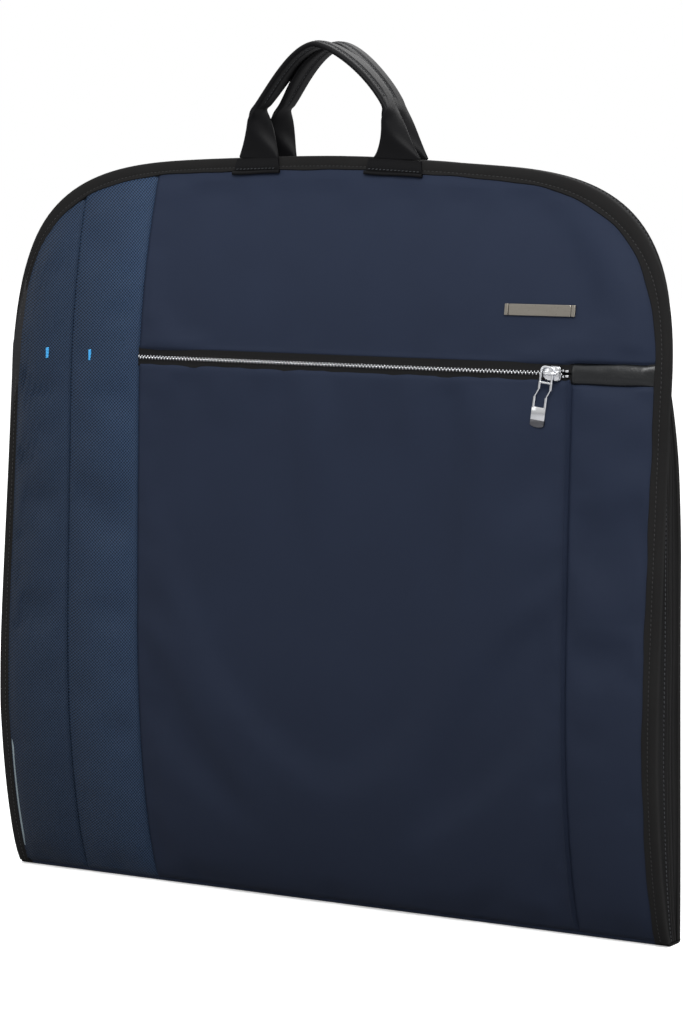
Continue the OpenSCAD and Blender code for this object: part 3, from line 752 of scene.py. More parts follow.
panelSpecs = {
    "upperPanel": {"node": "front_upper_panel", "x": (-150.0, 271.8), "low": "zip",
                   "top": "outline", "puff": 1.6, "finish": "navyFabric", "slot": "navy_fabric",
                   "fill": 0.3},
    "pocketPanel": {"node": "front_pocket_panel", "x": (-150.0, 210.0), "low": "foot",
                    "top": "zip", "puff": 1.8, "ridge": 1.5, "finish": "navyFabric",
                    "slot": "navy_fabric", "fill": 0.3},
    "sidePanel": {"node": "front_side_panel", "x": (210.0, 272.0), "low": "foot",
                  "top": "garage", "puff": 0.8, "finish": "navyFabric", "slot": "navy_fabric",
                  "fill": 0.3},
    "innerStrip": {"node": "textured_inner_strip", "x": (-215.0, -150.0), "low": "foot",
                   "top": "outline", "puff": 2.3, "finish": "texturedFabric",
                   "slot": "textured_fabric", "fill": 0.35},
    "outerStrip": {"node": "textured_outer_strip", "x": (-271.8, -215.0), "low": "foot",
                   "top": "outline", "puff": 2.0, "finish": "texturedFabric",
                   "slot": "textured_fabric", "fill": 0.35},
}
seamStyle = {"dip": 1.5, "reach": 1.5, "pucker": 0.16, "puckerPitch": 8.5, "ridgeAt": 2.0,
             "ridgeReach": 0.9}


def panelEdge(kind, x):
    if kind == "foot":
        return bag["footTop"] + 0.3
    if kind == "zip":
        return bag["zip"]
    if kind == "garage":
        return bag["zip"] - 7.4
    return topOf(x, 8)


def panelPiece(name, spec):
    x0, x1 = spec["x"]
    far = 99.0                          # more than any distance that a seam acts over
    toOutline = spec["top"] == "outline"
    wholeRows = []

    def column(x):
        low, top = panelEdge(spec["low"], x), panelEdge(spec["top"], x)
        if spec["low"] == "zip":
            low += 5.4 + 2.1 * smooth((x - 207) / 4)
            top = max(top, low + 0.5)
        if spec["top"] == "zip":
            top -= 4.2
        if not wholeRows:
            wholeRows.extend(spread(0.0, 100.0 * max(0.9, (bag["height"] - low) / 100)
                                    if toOutline else top - low, 6.5))
        left, right = x - x0, x1 - x
        u = clamp((x - x0) / (x1 - x0))
        for row in wholeRows:
            z = low + (top - low) * (row / wholeRows[-1])
            plain = frontFace(x, z)
            near = max(0.0, min(left if x0 >= -270 else far, right if x1 <= 270 else far,
                                z - low, far if toOutline else top - z))
            dip = seamStyle["dip"] * math.exp(-(near / seamStyle["reach"]) ** 2)
            above = (topOf(x, 8) if toOutline else top) - z
            puff = spec["puff"] * (4 * u * (1 - u)) ** 0.55 * clamp((z - low) / 40) ** 0.6
            puff *= clamp(above / 30) ** 0.6
            along = z if near in (left, right) else x
            pucker = (seamStyle["pucker"] * math.exp(-((near - 4) / 4.5) ** 2)
                      * math.sin(2 * math.pi * along / seamStyle["puckerPitch"]
                                 + 1.3 * math.sin(along / 31)))
            ridge = spec.get("ridge", 0.0) * math.exp(
                -((right - seamStyle["ridgeAt"]) / seamStyle["ridgeReach"]) ** 2)
            y = plain + dip - puff + pucker + clothLift(x, z)
            y -= ridge * clamp((z - low) / 10)
            yield (x, y, z), (x, max(plain, y) + bag["panel"], z)

    piece = slabPiece(name, spread(x0, x1, 6.5), column, 60)
    return finishPiece(piece, "front_half", spec["slot"], spec["finish"],
                                 spec["node"])


for panelName, panelSpec in panelSpecs.items():
    panelPiece(panelName, panelSpec)
print("front panels made")

# ---- bindings, gussets and rims ----
bindingStyle = {"width": 10.0, "proud": 1.1, "wrap": 4.6, "wave": 0.35, "stitch": 7.3,
                "stitchSide": 5.2, "pitch": 3.3}


def stitchInset(x, z):
    # the row of stitches runs nearer the edge on the right-hand side
    share = smooth((x - 150) / 110) * smooth((530 - z) / 60)
    narrow = 1.3 * smooth((-x - 230) / 40)
    return bindingStyle["stitch"] * (1 - share) + bindingStyle["stitchSide"] * share - narrow


def edgeWave(along):
    return bindingStyle["wave"] * (math.sin(along / 13.0) + 0.6 * math.sin(along / 5.7 + 1.0))


def bindingProfile(surface, side):
    # side is -1 for the front cover's face, which looks towards -Y
    def profile(along, x, z):
        narrow = 1.3 * smooth((-x - 230) / 40) if side < 0 else 0.0
        w = bindingStyle["width"] + edgeWave(along) - narrow
        p = bindingStyle["proud"] - 0.4 * narrow
        s = stitchInset(x, z) if side < 0 else bindingStyle["stitch"]
        ripple = 0.12 * math.sin(along / 4.1)
        steps = [(w + 0.3, 0.6), (w, -0.35 * p), (w - 0.6, -p), (s + 0.9, -p + ripple),
                 (s + 0.35, -p + 0.2), (s - 0.35, -p + 0.2), (s - 0.9, -p - 0.1 - ripple),
                 (2.2, -p), (0.9, -0.75 * p), (0.2, -0.1 * p), (-0.15, 0.9),
                 (-0.2, 2.4), (-0.15, bindingStyle["wrap"]), (0.5, bindingStyle["wrap"] + 0.4),
                 (1.6, bindingStyle["wrap"]), (1.8, 2.9), (w, 2.9)]
        return [(inset, facing(surface, -side * depth)) for inset, depth in steps]
    return profile


def gussetProfile(outer, side):
    # a side band from the cover's binding to the rim at the parting
    def profile(along, x, z):
        def between(share, shift=0.0):
            return lambda px, pz: (outer(px, pz) - side * 3.0) * (1 - share) + (
                partingFace(px, pz) + side * 2.7) * share + shift
        sag = 0.5 + 0.25 * math.sin(along / 23.0)
        return [(0.25, between(0.0)), (0.35 + sag, between(0.3)), (0.3 + sag, between(0.5)),
                (0.25, between(0.68)), (0.75, between(0.76)), (0.2, between(0.83)),
                (0.0, between(1.0)), (1.8, between(1.0)), (2.2, between(0.5)),
                (1.8, between(0.0))]
    return profile


def rimProfile(side):
    def profile(along, x, z):
        w = 8 + edgeWave(along)
        near, far = side * 0.35, side * 2.7
        return [(0.3, facing(partingFace, near)), (-0.1, facing(partingFace, side * 1.0)),
                (-0.1, facing(partingFace, side * 2.2)), (0.5, facing(partingFace, far)),
                (w, facing(partingFace, far)), (w, facing(partingFace, side * 0.9)),
                (w - 0.8, facing(partingFace, near)), (w - 2.3, facing(partingFace, near)),
                (w - 2.7, facing(partingFace, side * 0.75)), (w - 3.1, facing(partingFace, near))]
    return profile


halves = {
    "front": {"body": "front_half", "slump": 0.0, "surface": frontFace, "side": -1},
    "rear": {"body": "rear_half", "slump": bag["rearSlump"], "surface": rearFace, "side": 1},
}
stationsOf = {name: outlineStations(half["slump"], bag["footTop"] + 0.1)
              for name, half in halves.items()}
for halfName, half in halves.items():
    side = half["side"]
    for ringName, profile, finish, node in (
            ("Binding", bindingProfile(half["surface"], side), "bindingTape", "_binding"),
            ("Gusset", gussetProfile(half["surface"], side), "gussetFabric", "_gusset"),
            ("InnerRim", rimProfile(side), "bindingTape", "_inner_rim")):
        ring = ringPiece(halfName + ringName, stationsOf[halfName], profile)
        finishPiece(ring, half["body"], "binding_tape", finish, halfName + node)
print("bindings made")


# ---- stitches: one modelled thread, copied along each row ----
def threadPiece(length, thick):
    pickOnly(bagCamera)
    bpy.ops.mesh.primitive_uv_sphere_add(segments=6, ring_count=4, radius=0.5)
    piece = bpy.context.active_object
    piece.data.transform(Matrix.Diagonal((thick * mm, thick * mm, length * mm, 1)))
    smoothPiece(piece, 80)
    return piece


def threadPlace(place, along, out, lean=0.0):
    # a place where a thread lies: its length runs along, and out points away from the cloth
    z = Vector(along).normalized()
    y = Vector(out).normalized()
    x = y.cross(z).normalized()
    y = z.cross(x).normalized()
    turn = Matrix((x, y, z)).transposed().to_4x4()
    return (Matrix.Translation(Vector(place) * mm) @ turn
            @ Matrix.Rotation(lean, 4, "Y"))


def rowPlaces(spots, pitch, out, lean=0.0):
    # equally spaced thread places along a line of points
    places, travelled, nextAt = [], 0.0, pitch / 2
    for a, b in zip(spots, spots[1:]):
        a, b = Vector(a), Vector(b)
        step = (b - a).length
        while step > 0 and nextAt <= travelled + step:
            at = a.lerp(b, (nextAt - travelled) / step)
            places.append(threadPlace(at, b - a, out(at) if callable(out) else out, lean))
            nextAt += pitch
        travelled += step
    return places


def bindingSpot(station):
    x, z = station(stitchInset(*station(0)))
    return x, frontFace(x, z) - 0.75, z


def gussetSpot(station):
    x, z = station(0.35)
    return x, (frontFace(x, z) + 3.0) * 0.24 + (partingFace(x, z) - 2.7) * 0.76, z


def rearSpot(station):
    x, z = station(bindingStyle["stitch"])
    return x, rearFace(x, z) + 0.75, z


def awayFromMiddle(at):
    return (at.x, 0, 0) if at.z < bag["turn"] else (at.x, 0, at.z - 250)


stitchLines = (
    ("bindingStitches", "front", bindingSpot, (2.4, 0.75), (0, -1, 0), "threadBlack"),
    ("gussetStitches", "front", gussetSpot, (2.3, 0.8), awayFromMiddle, "threadGrey"),
    ("rearBindingStitches", "rear", rearSpot, (2.4, 0.75), (0, 1, 0), "threadBlack"))
for rowName, halfName, spotOf, threadSize, out, finish in stitchLines:
    spots = [spotOf(station) for station in stationsOf[halfName]]
    row = repeatPiece(rowName, threadPiece(*threadSize),
                      rowPlaces(spots, bindingStyle["pitch"], out, 0.12))
    finishPiece(row, halves[halfName]["body"], "binding_tape", finish)
print("stitches laid")

# ---- pocket zip ----
zipStyle = {"pitch": 1.36, "x0": -149.5, "x1": 206.0, "offset": 0.52, "lean": 0.22,
            "mainPitch": 1.5}


def tapeStrip(name, low, high, x0, x1, surface, sunk, body, node, vertical=False):
    # a woven strip with a corded edge, along X, or along Z when vertical
    def column(along):
        for share in (0.0, 0.08, 0.2, 0.45, 0.7, 0.88, 1.0):
            cross = low + (high - low) * share
            x, z = (cross, along) if vertical else (along, cross)
            y = surface(x, z) + sunk(share)
            yield (x, y, z), (x, y + 0.8, z)

    piece = slabPiece(name, evenly(x0, x1, int((x1 - x0) / 5)), column)
    return finishPiece(piece, body, "zip_tape", "zipTape", node)


def cordedEdge(share):
    return 0.8 - 0.35 * math.exp(-(share / 0.16) ** 2)


tapeStrip("pocketTapeUpper", 405.6, 412.0, -150.5, 210.5, frontFace, cordedEdge, "front_half",
          "pocket_tape_upper")
tapeStrip("pocketTapeLower", 398.6, 404.4, -150.5, 210.5, frontFace,
          lambda share: cordedEdge(1 - share), "front_half", "pocket_tape_lower")


def toothPiece():
    # one cast tooth: a short block with a rounded head
    return blockPiece("tooth", (0.95, 1.5, 1.9), (0, 0, 0), 0.28, 1)


toothPlaces = []
toothAt, flip = zipStyle["x0"], 1
while toothAt < zipStyle["x1"] - 2:
    spot = (toothAt, frontFace(toothAt, bag["zip"]) + 0.15,
            bag["zip"] + flip * zipStyle["offset"])
    toothPlaces.append(Matrix.Translation(Vector(spot) * mm)
                       @ Matrix.Rotation(flip * zipStyle["lean"], 4, "Y"))
    toothAt += zipStyle["pitch"]
    flip = -flip
pocketTeeth = repeatPiece("pocketTeeth", toothPiece(), toothPlaces)
finishPiece(pocketTeeth, "front_half", "zip_metal", "zipTeeth", "pocket_chain")

stopPieces = []
for lift in (-1, 1):
    for size, x, proud, away, bevel, segments in (
            ((2.6, 1.7, 1.7), 207.2, 0.4, 1.75, 0.5, 3),
            ((1.6, 1.4, 1.5), 204.4, 0.3, 2.1, 0.4, 2)):
        centre = (x, frontFace(int(x), bag["zip"]) - proud, bag["zip"] + lift * away)
        stopPieces.append(blockPiece("stop", size, centre, bevel, segments))
finishPiece(joinPieces("pocketStops", *stopPieces), "front_half", "zip_metal", "zipTeeth",
            "pocket_stops")

# ---- zip garage: a padded leatherette bar ----
garage = {"x0": 209.6, "x1": 271.8, "z": 405.0, "half": 7.7, "swell": 3.4, "wave": 0.45}


def garageColumn(x):
    inFrom = clamp((x - garage["x0"]) / 3.0)
    bulge = garage["swell"] * math.sin(math.pi / 2 * inFrom) ** 0.5
    bulge *= 1 - 0.7 * smooth((x - 261) / 9)
    for v in evenly(-1, 1, 24):
        wave = garage["wave"] * math.sin(x / 7.5 + 0.6) * (1 if v > 0 else 0.5)
        z = garage["z"] + v * (garage["half"] + wave * abs(v))
        arch = max(0.0, 1 - abs(v) ** 2.6) ** 0.62
        crease = 0.30 * noise.noise(Vector((x / 9.0, v * 1.2, 3.0)))
        plain = frontFace(x, z)
        yield (x, plain + 1.5 - bulge * arch + crease * arch, z), (x, plain + 2.6, z)


garageBar = slabPiece("zipGarage", evenly(garage["x0"], garage["x1"], 48), garageColumn, 70)
finishPiece(garageBar, "front_half", "leatherette", "leatherette", "zip_garage")

# ---- slider and puller ----
slider = {"x": 196.5, "eye": 2.5, "lean": 7}


def sliderPieces(name, body, finish, centre, vertical, slotName, nodes):
    # body, bridge with knuckles and feet, made lying along X and then turned
    outline = [(-6.6, -2.9), (-4.0, -4.2), (-0.6, -5.3), (4.6, -5.3), (6.3, -4.4), (6.7, -2.6),
               (6.7, 2.6), (6.3, 4.4), (4.6, 5.3), (-0.6, 5.3), (-4.0, 4.2), (-6.6, 2.9)]
    lower = platePiece("lower", outline, 0.0, -1.2, 0.35)
    upper = platePiece("upper", [(x * 0.97, z * 0.96) for x, z in outline], -1.7, -3.0, 0.5)
    wedge = blockPiece("wedge", (3.0, 2.6, 4.0), (3.6, -1.5, 0), 0.5, 2)
    flanges = [blockPiece("flange", (9.0, 1.0, 0.9), (0.8, -1.45, z), 0.3, 2)
               for z in (4.6, -4.6)]
    sliderBody = joinPieces(name, upper, lower, wedge, *flanges)
    bow = wirePiece("bow", [(-4.6 * math.cos(a), -3.0 - 3.3 * math.sin(a) ** 0.6, 0)
                            for a in evenly(0.0, math.pi, 14)], 1.15)
    footA = blockPiece("foot", (2.4, 1.6, 3.6), (-4.6, -3.2, 0), 0.6, 3)
    footB = blockPiece("foot", (2.6, 1.8, 3.9), (4.7, -3.3, 0), 0.7, 3)
    crown = blockPiece("crown", (5.2, 0.9, 2.5), (0, -6.1, 0), 0.4, 3)
    bridge = joinPieces(name + "Bridge", bow, footA, footB, crown)
    turn = Matrix.Rotation(-math.pi / 2, 4, "Y") if vertical else Matrix.Identity(4)
    for piece, node in zip((sliderBody, bridge), nodes):
        piece.data.transform(Matrix.Translation(Vector(centre) * mm) @ turn)
        finishPiece(piece, body, slotName, finish, node)


def pullerPieces(name, body, finish, tipFinish, hang, lean, slotName, node, scale):
    # upper frame, crossbar, open waist that steps aside, lower frame and solid tab
    w, low = 5.0, -2.9                  # half its width, and how far the lower part steps aside
    parts = [wirePiece("eye", roundedLoop(-w, w, -7.4, 5.2, 0, (1.0, 1.0, 2.0, 3.4)), 0.95,
                       True)]
    for x in (-w, w):
        parts.append(wirePiece("bar", [(x, 0, -7.0), (x, 0, -12.6)], 1.1))
        parts.append(wirePiece("waist", [(x, 0, -12.2), (x - 0.3, 0, -13.2), (x - 2.6, 0, -18.2),
                                         (x - 2.9, 0, -19.4)], 0.5))
        parts.append(wirePiece("rail", [(x + low, 0, -19.0), (x + low, 0, -28.0)], 1.15))
    tab = [(low - w - 1.1, -27.0), (low - w - 1.1, -37.4), (low + w + 1.1, -37.4),
           (low + w + 1.1, -27.0)]
    parts.append(platePiece("tab", tab, -0.85, 0.85, 0.4))
    puller = joinPieces(name, *parts)
    tip = [(low + 6.1 * math.cos(a), -41.0 + 2.0 * math.sin(a))
           for a in evenly(math.pi, 2 * math.pi, 8)]
    tipPiece = platePiece(name + "Tip", [(low + 6.1, -37.1), (low - 6.1, -37.1)] + tip,
                          -1.0, 1.0, 0.5)
    place = (Matrix.Translation(Vector(hang) * mm) @ Matrix.Rotation(lean, 4, "Y")
             @ Matrix.Diagonal((scale, 1, scale, 1)))
    puller.data.transform(place)
    tipPiece.data.transform(place)
    finishPiece(puller, body, slotName, finish, node)
    finishPiece(tipPiece, body, slotName, tipFinish)


pocketSeat = frontFace(slider["x"], bag["zip"]) - 0.6
sliderPieces("pocketSlider", "pocket_slider", "chrome",
             (slider["x"], pocketSeat, bag["zip"]), False, "slider_metal",
             ("pocket_slider", "pocket_slider_bridge"))
pullerPieces("pocketPuller", "pocket_puller", "chrome", "darkMetal",
             (slider["x"] - slider["eye"], pocketSeat - 4.4, bag["zip"]),
             math.radians(slider["lean"]), "slider_metal", "pocket_puller", 0.9)
print("pocket zip made")

# ---- badge: a blank plate with a bar at each end ----
badge = {"x0": 156.0, "x1": 210.0, "z": 449.0, "tall": 4.2}


def badgePiece():
    parts = []
    lift = clothLift((badge["x0"] + badge["x1"]) / 2, badge["z"])
    bars = ((badge["x0"] + 3.2, badge["x1"] - 3.2, 1.0), (badge["x0"], badge["x0"] + 2.9, 1.2),
            (badge["x1"] - 2.9, badge["x1"], 1.2))
    for x0, x1, rise in bars:
        def column(x, rise=rise):
            for v in (-1, -0.5, 0, 0.5, 1):
                z = badge["z"] + v * badge["tall"]
                depth = frontFace(x, z) + lift
                yield (x, depth - 1.6 - rise, z), (x, depth + 0.8, z)

        part = slabPiece("plate", evenly(x0, x1, max(2, int((x1 - x0) / 3))), column, 30)
        bevelPiece(part, 0.45, 3, 40)
        smoothPiece(part, 35)
        parts.append(part)
    return joinPieces("badgePlate", *parts)


def recolour(nodeName, finish):
    # a part that keeps its own shape
    node = frame["nodes"][nodeName]
    node.data.materials.clear()
    node.data.materials.append(finishes[finish])


finishPiece(badgePiece(), "front_half", "badge_metal", "badgeMetal", "badge_plate")
recolour("badge_washer", "rivetSteel")

# ---- contrast bar tacks and piping ----
tack = {"long": 8.0, "wide": 1.9, "offset": 21.5, "threads": 7, "lift": {-1: 2.0, 1: 2.25}}
tackParts = []
for sideSign in (-1, 1):
    centreX = bag["seamOuter"] + sideSign * tack["offset"]
    depth = frontFace(centreX, bag["zip"]) + clothLift(centreX, bag["zip"])
    depth -= tack["lift"][sideSign]
    for i in range(tack["threads"]):
        z = bag["zip"] + tack["long"] * (i / (tack["threads"] - 1) - 0.5) * 0.86
        tackParts.append(wirePiece("pick", [
            (centreX + share * tack["wide"], depth + out, z + rise)
            for share, out, rise in ((-0.5, 0.5, -0.25), (-0.25, -0.35, -0.1),
                                     (0.25, -0.35, 0.1), (0.5, 0.5, 0.25))], 0.62, sides=2))
    tackParts.append(blockPiece("core", (tack["wide"] * 0.8, 1.6, tack["long"] * 0.9),
                                (centreX, depth + 0.7, bag["zip"]), 0.4, 2))
finishPiece(joinPieces("barTacks", *tackParts), "front_half", "tack_thread", "tackThread",
            "bar_tacks")

piping = {"x": -268.9, "z0": 17, "length": 88, "radius": 1.05, "steps": 39}
pipingSpots = []
for i in range(piping["steps"] + 1):
    z = piping["z0"] + piping["length"] * i / piping["steps"]
    fade = smooth(min(i, piping["steps"] - i) / 5)
    pipingSpots.append((piping["x"] - 0.9 * (1 - fade),
                        frontFace(piping["x"], z) - 1.2 * fade + 0.4, z))
finishPiece(wirePiece("edgePiping", pipingSpots, piping["radius"]), "front_half", "piping_cord",
            "pipingCord", "edge_piping")
print("badge, tacks and piping made")


# ---- rear panel ----
def rearColumn(x):
    low, top = 3.0, topOf(x, 8, bag["rearSlump"])
    for i in range(57):
        z = low + (top - low) * i / 56
        u, v = x / 272, (z - low) / (top - low)
        puff = 2.2 * max(0.0, 1 - u * u) ** 0.6 * max(0.0, 4 * v * (1 - v)) ** 0.5
        sway = 0.5 * noise.noise(Vector((x / 95.0, z / 80.0, 7.0)))
        y = rearFace(x, z) + puff + sway * min(1.0, puff)
        yield (x, y, z), (x, y - bag["panel"], z)


finishPiece(slabPiece("rearPanel", spread(-271.8, 271.8, 9), rearColumn, 60),
                      "rear_half", "navy_fabric", "navyFabric", "rear_panel")

# ---- fold strip under the foot ----
fold = {"half": 269.0, "end": 279.6, "wide": 9.6}


def foldProfile():
    pts = [(-fold["wide"] - 0.9, 3.3), (-fold["wide"] - 0.7, 1.7), (-fold["wide"] + 0.4, 0.55),
           (-6.5, 0.1), (0, 0.05), (6.5, 0.1), (fold["wide"] - 0.4, 0.55),
           (fold["wide"] + 0.3, 1.7), (fold["wide"] + 0.1, 3.0)]
    inside = [(y * 0.86, z + 1.7 if z < 1 else z) for y, z in reversed(pts)]
    return pts + inside


def foldPiece(name, x0, x1):
    places = evenly(x0, x1, max(2, int((x1 - x0) / 9)))
    loop = foldProfile()
    points = [(x, y, z) for x in places for y, z in loop]
    return meshPiece(name, points, tubeFaces(len(places), len(loop)), 50)


# the fold strip takes the lighter copy of the navy cloth: painted light against the shade at the
# foot
finishPiece(foldPiece("foldStrip", -fold["half"], fold["half"]), "fold_spine", "navy_fabric",
            "foldFabricPaintedLight", "fold_strip")
foldTapes = joinPieces("foldEdgeTapes", foldPiece("tapeLeft", -fold["end"], -fold["half"]),
                       foldPiece("tapeRight", fold["half"], fold["end"]))
finishPiece(foldTapes, "fold_spine", "binding_tape", "bindingTape", "fold_edge_tapes")

# ---- linings, main zips and the hanger ----
liningStyle = {"depth": 4.8, "low": 6.7}


def liningPiece(name, side, x0, x1, slump):
    def column(x):
        top = topOf(x, 1.8, slump)
        for j in range(61):
            z = liningStyle["low"] + (top - liningStyle["low"]) * j / 60
            sway = 0.35 * noise.noise(Vector((x / 60.0, z / 55.0, 3.0 + side)))
            y = partingFace(x, z) + side * (liningStyle["depth"] + 0.35 + sway)
            yield (x, y, z), (x, y + side * 0.6, z)

    return slabPiece(name, evenly(x0, x1, max(6, int((x1 - x0) / 9))), column, 60)


def clothArea(piece):
    return sum(polygon.area for polygon in piece.data.polygons) / 2


for halfName, half in halves.items():
    for share, x0, x1, length in (("Wide", -278.0, 169.6, 0.550), ("Narrow", 180.4, 278.0, 0.545)):
        lining = liningPiece(halfName + "Lining" + share, half["side"], x0, x1, half["slump"])
        finishPiece(lining, half["body"], "lining_fabric", "liningFabric",
                    halfName + "_lining_" + share.lower())
        width = (x1 - x0) * mm
        min(clothArea(lining), width * length)

for halfName, half in halves.items():
    side = half["side"]

    def innerDepth(x, z, side=side):
        return partingFace(x, z) + side * liningStyle["depth"] - (0.8 if side > 0 else 0)

    tapeTop = topOf(bag["mainZip"], 2, half["slump"]) - 1
    strips = [tapeStrip(halfName + "MainTape", low, low + 4.8, liningStyle["low"], tapeTop,
                        innerDepth, lambda share: 0.0, None, halfName + "_main_tapes",
                        vertical=True) for low in (169.4, 175.8)]
    tapes = joinPieces(halfName + "MainTapes", *strips)
    finishPiece(tapes, half["body"], "zip_tape", "zipTape", halfName + "_main_tapes")
    places, at, flip = [], 8.0, 1
    while at < bag["mainTop"] - 1:
        y = partingFace(bag["mainZip"], at) + (liningStyle["depth"] - 0.7 if side > 0
                                               else 0.1 - liningStyle["depth"])
        spot = (bag["mainZip"] + flip * zipStyle["offset"], y, at)
        places.append(Matrix.Translation(Vector(spot) * mm)
                      @ Matrix.Rotation(math.pi / 2 + flip * zipStyle["lean"], 4, "Y"))
        at += zipStyle["mainPitch"]
        flip = -flip
    teeth = repeatPiece(halfName + "MainTeeth", toothPiece(), places)
    finishPiece(teeth, half["body"], "zip_metal", "zipTeeth", halfName + "_main_chain")

stopAt = bag["mainTop"] - 1
mainStops = [blockPiece("stop", (1.6, 1.6, 2.0),
                        (bag["mainZip"] + s * 2.0, partingFace(bag["mainZip"], stopAt) + 4.2,
                         stopAt), 0.4, 2) for s in (-1, 1)]
finishPiece(joinPieces("rearMainStops", *mainStops), "rear_half", "zip_metal", "zipTeeth",
            "rear_main_stops")
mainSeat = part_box("main_slider")[1].y * 1000
sliderPieces("mainSlider", "main_slider", "darkMetal",
             (bag["mainZip"], mainSeat, bag["mainSlider"]), True, "dark_metal",
             ("main_slider", "main_slider_bridge"))
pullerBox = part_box("main_puller")
pullerPieces("mainPuller", "main_puller", "darkMetal", "darkMetal",
             (bag["mainZip"], (pullerBox[0].y + pullerBox[1].y) * 500, bag["mainSlider"] - 3),
             0.0, "dark_metal",
             "main_puller", 0.84)


pouch = {"x0": -147.5, "x1": 207.5, "z0": 125.6, "z1": 424.0, "cells": 40}


def pouchColumn(x):
    # a thin cloth bag behind the zip, closed against the back of the panel all round
    for z in evenly(pouch["z0"], pouch["z1"], pouch["cells"]):
        near = min(x - pouch["x0"], pouch["x1"] - x, z - pouch["z0"], pouch["z1"] - z)
        depth = 3.2 + 4.6 * smooth(near / 7) + 0.4 * noise.noise(Vector((x / 40, z / 40, 1)))
        y = frontFace(x, z) + depth
        yield (x, y, z), (x, y + 0.6, z)


pocketBag = finishPiece(
    slabPiece("pocketBag", evenly(pouch["x0"], pouch["x1"], pouch["cells"]), pouchColumn, 60),
    "front_half", "lining_fabric", "pocketLining", "pocket_bag")
print("linings and main zip made")

# garment strap, its anchors and the hanger bracket
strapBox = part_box("garment_strap")
strapEnds = [corner.x * 1000 for corner in strapBox]
strapAt = {"z": 250.0, "wide": 30.0}


def strapColumn(x):
    along = (x - strapEnds[0]) / (strapEnds[1] - strapEnds[0])
    for j in range(11):
        z = strapAt["z"] + strapAt["wide"] * (j / 10 - 0.5)
        y = rearFace(x, z) - 3.2 - 0.5 * math.sin(math.pi * along)
        if j in (2, 8):
            y += 0.25
        yield (x, y - 1.0, z), (x, y, z)


strapPiece = slabPiece("garmentStrap", evenly(*strapEnds, 48), strapColumn)
finishPiece(strapPiece, "rear_half", "binding_tape", "bindingTape", "garment_strap")
anchorParts = []
for anchorX in (strapEnds[0] + 4, strapEnds[1] - 4):
    depth = rearFace(anchorX, strapAt["z"]) - 5.0
    ring = roundedLoop(anchorX - 4.2, anchorX + 4.2, strapAt["z"] - 17.5, strapAt["z"] + 17.5,
                       depth, (2, 2, 2, 2))
    anchorParts.append(wirePiece("ring", ring, 1.3, True))
    anchorParts.append(blockPiece("bar", (1.8, 1.8, 33), (anchorX, depth, strapAt["z"]), 0.7, 3))
finishPiece(joinPieces("strapAnchors", *anchorParts), "rear_half", "bracket_plastic",
            "bracketPlastic", "strap_anchors")
for nodeName, finish in (("hanger_bracket", "bracketPlastic"), ("hanger_rivet", "rivetSteel"),
                         ("hanger_latch", "bracketPlastic")):
    recolour(nodeName, finish)

# ---- handles ----
handle = {"nest": 4.5, "thick": 2.6, "gripWide": 19.5, "gripThick": 4.6,
          "waist": 590.0, "peak": 639.5, "base": 553.0}


def crossFrom(a, c, b, u, pull=3.0):
    # a rounded corner from a to b that leans on c
    shares = ((1 - u) ** 2, 2 * pull * u * (1 - u), u * u)
    return (a * shares[0] + c * shares[1] + b * shares[2]) / sum(shares)


def handleLoops(side, seat, leg):
    # loops of points from the sewn base of one leg up to the waist
    loops = []
    steps, wide = 16, 16
    reach = handle["gripWide"] / 2
    for i in range(steps + 1):
        s = i / steps
        z = handle["base"] + (handle["waist"] - handle["base"]) * s
        turn = smooth(s) ** 1.1
        fold = smooth(s / 0.9)
        leftX = leg["left"] + (leg["waist"] - leg["left"]) * s ** leg["leftBend"]
        rightX = leg["right"] + (leg["waist"] - leg["right"]) * s ** leg["rightBend"]
        left = Vector((leftX, seat + side * reach * turn, z))
        right = Vector((rightX, seat - side * reach * turn, z))
        corner = right.lerp(left, clamp((s - 0.02) / 0.82))
        corner.y = seat + side * (reach * turn + 1.2 * math.sin(math.pi * s))
        thick = handle["thick"] * (1 - fold) + handle["gripThick"] * fold
        middle = [crossFrom(left, corner, right, j / wide) for j in range(wide + 1)]
        normals = []
        for j in range(wide + 1):
            a, b = middle[max(0, j - 1)], middle[min(wide, j + 1)]
            n = Vector(((b - a).y, -(b - a).x, 0))
            normals.append(n.normalized() if n.length > 1e-6 else Vector((0, -1, 0)))
        ring = []
        for face in (1, -1):
            for j in range(wide + 1)[::face]:
                v = abs(2 * j / wide - 1)
                ring.append(middle[j] + normals[j] * face * thick / 2
                            * max(0.3, (1 - v ** 6) ** 0.5))
        loops.append(ring)
    return loops


def bezierAt(p, t):
    shares = ((1 - t) ** 3, 3 * (1 - t) ** 2 * t, 3 * (1 - t) * t * t, t ** 3)
    return Vector((sum(s * q[0] for s, q in zip(shares, p)), 0,
                   sum(s * q[1] for s, q in zip(shares, p))))


def gripPath(leftX, rightX, peakX, waist, peak):
    left = ((leftX, waist), (leftX + 12, waist + 16), (peakX - 19.5, peak - 3), (peakX, peak))
    right = ((peakX, peak), (peakX + 12.5, peak), (rightX - 18, waist + 29), (rightX, waist))
    spots = [bezierAt(left, i / 20) for i in range(21)]
    return spots + [bezierAt(right, i / 20) for i in range(1, 21)]


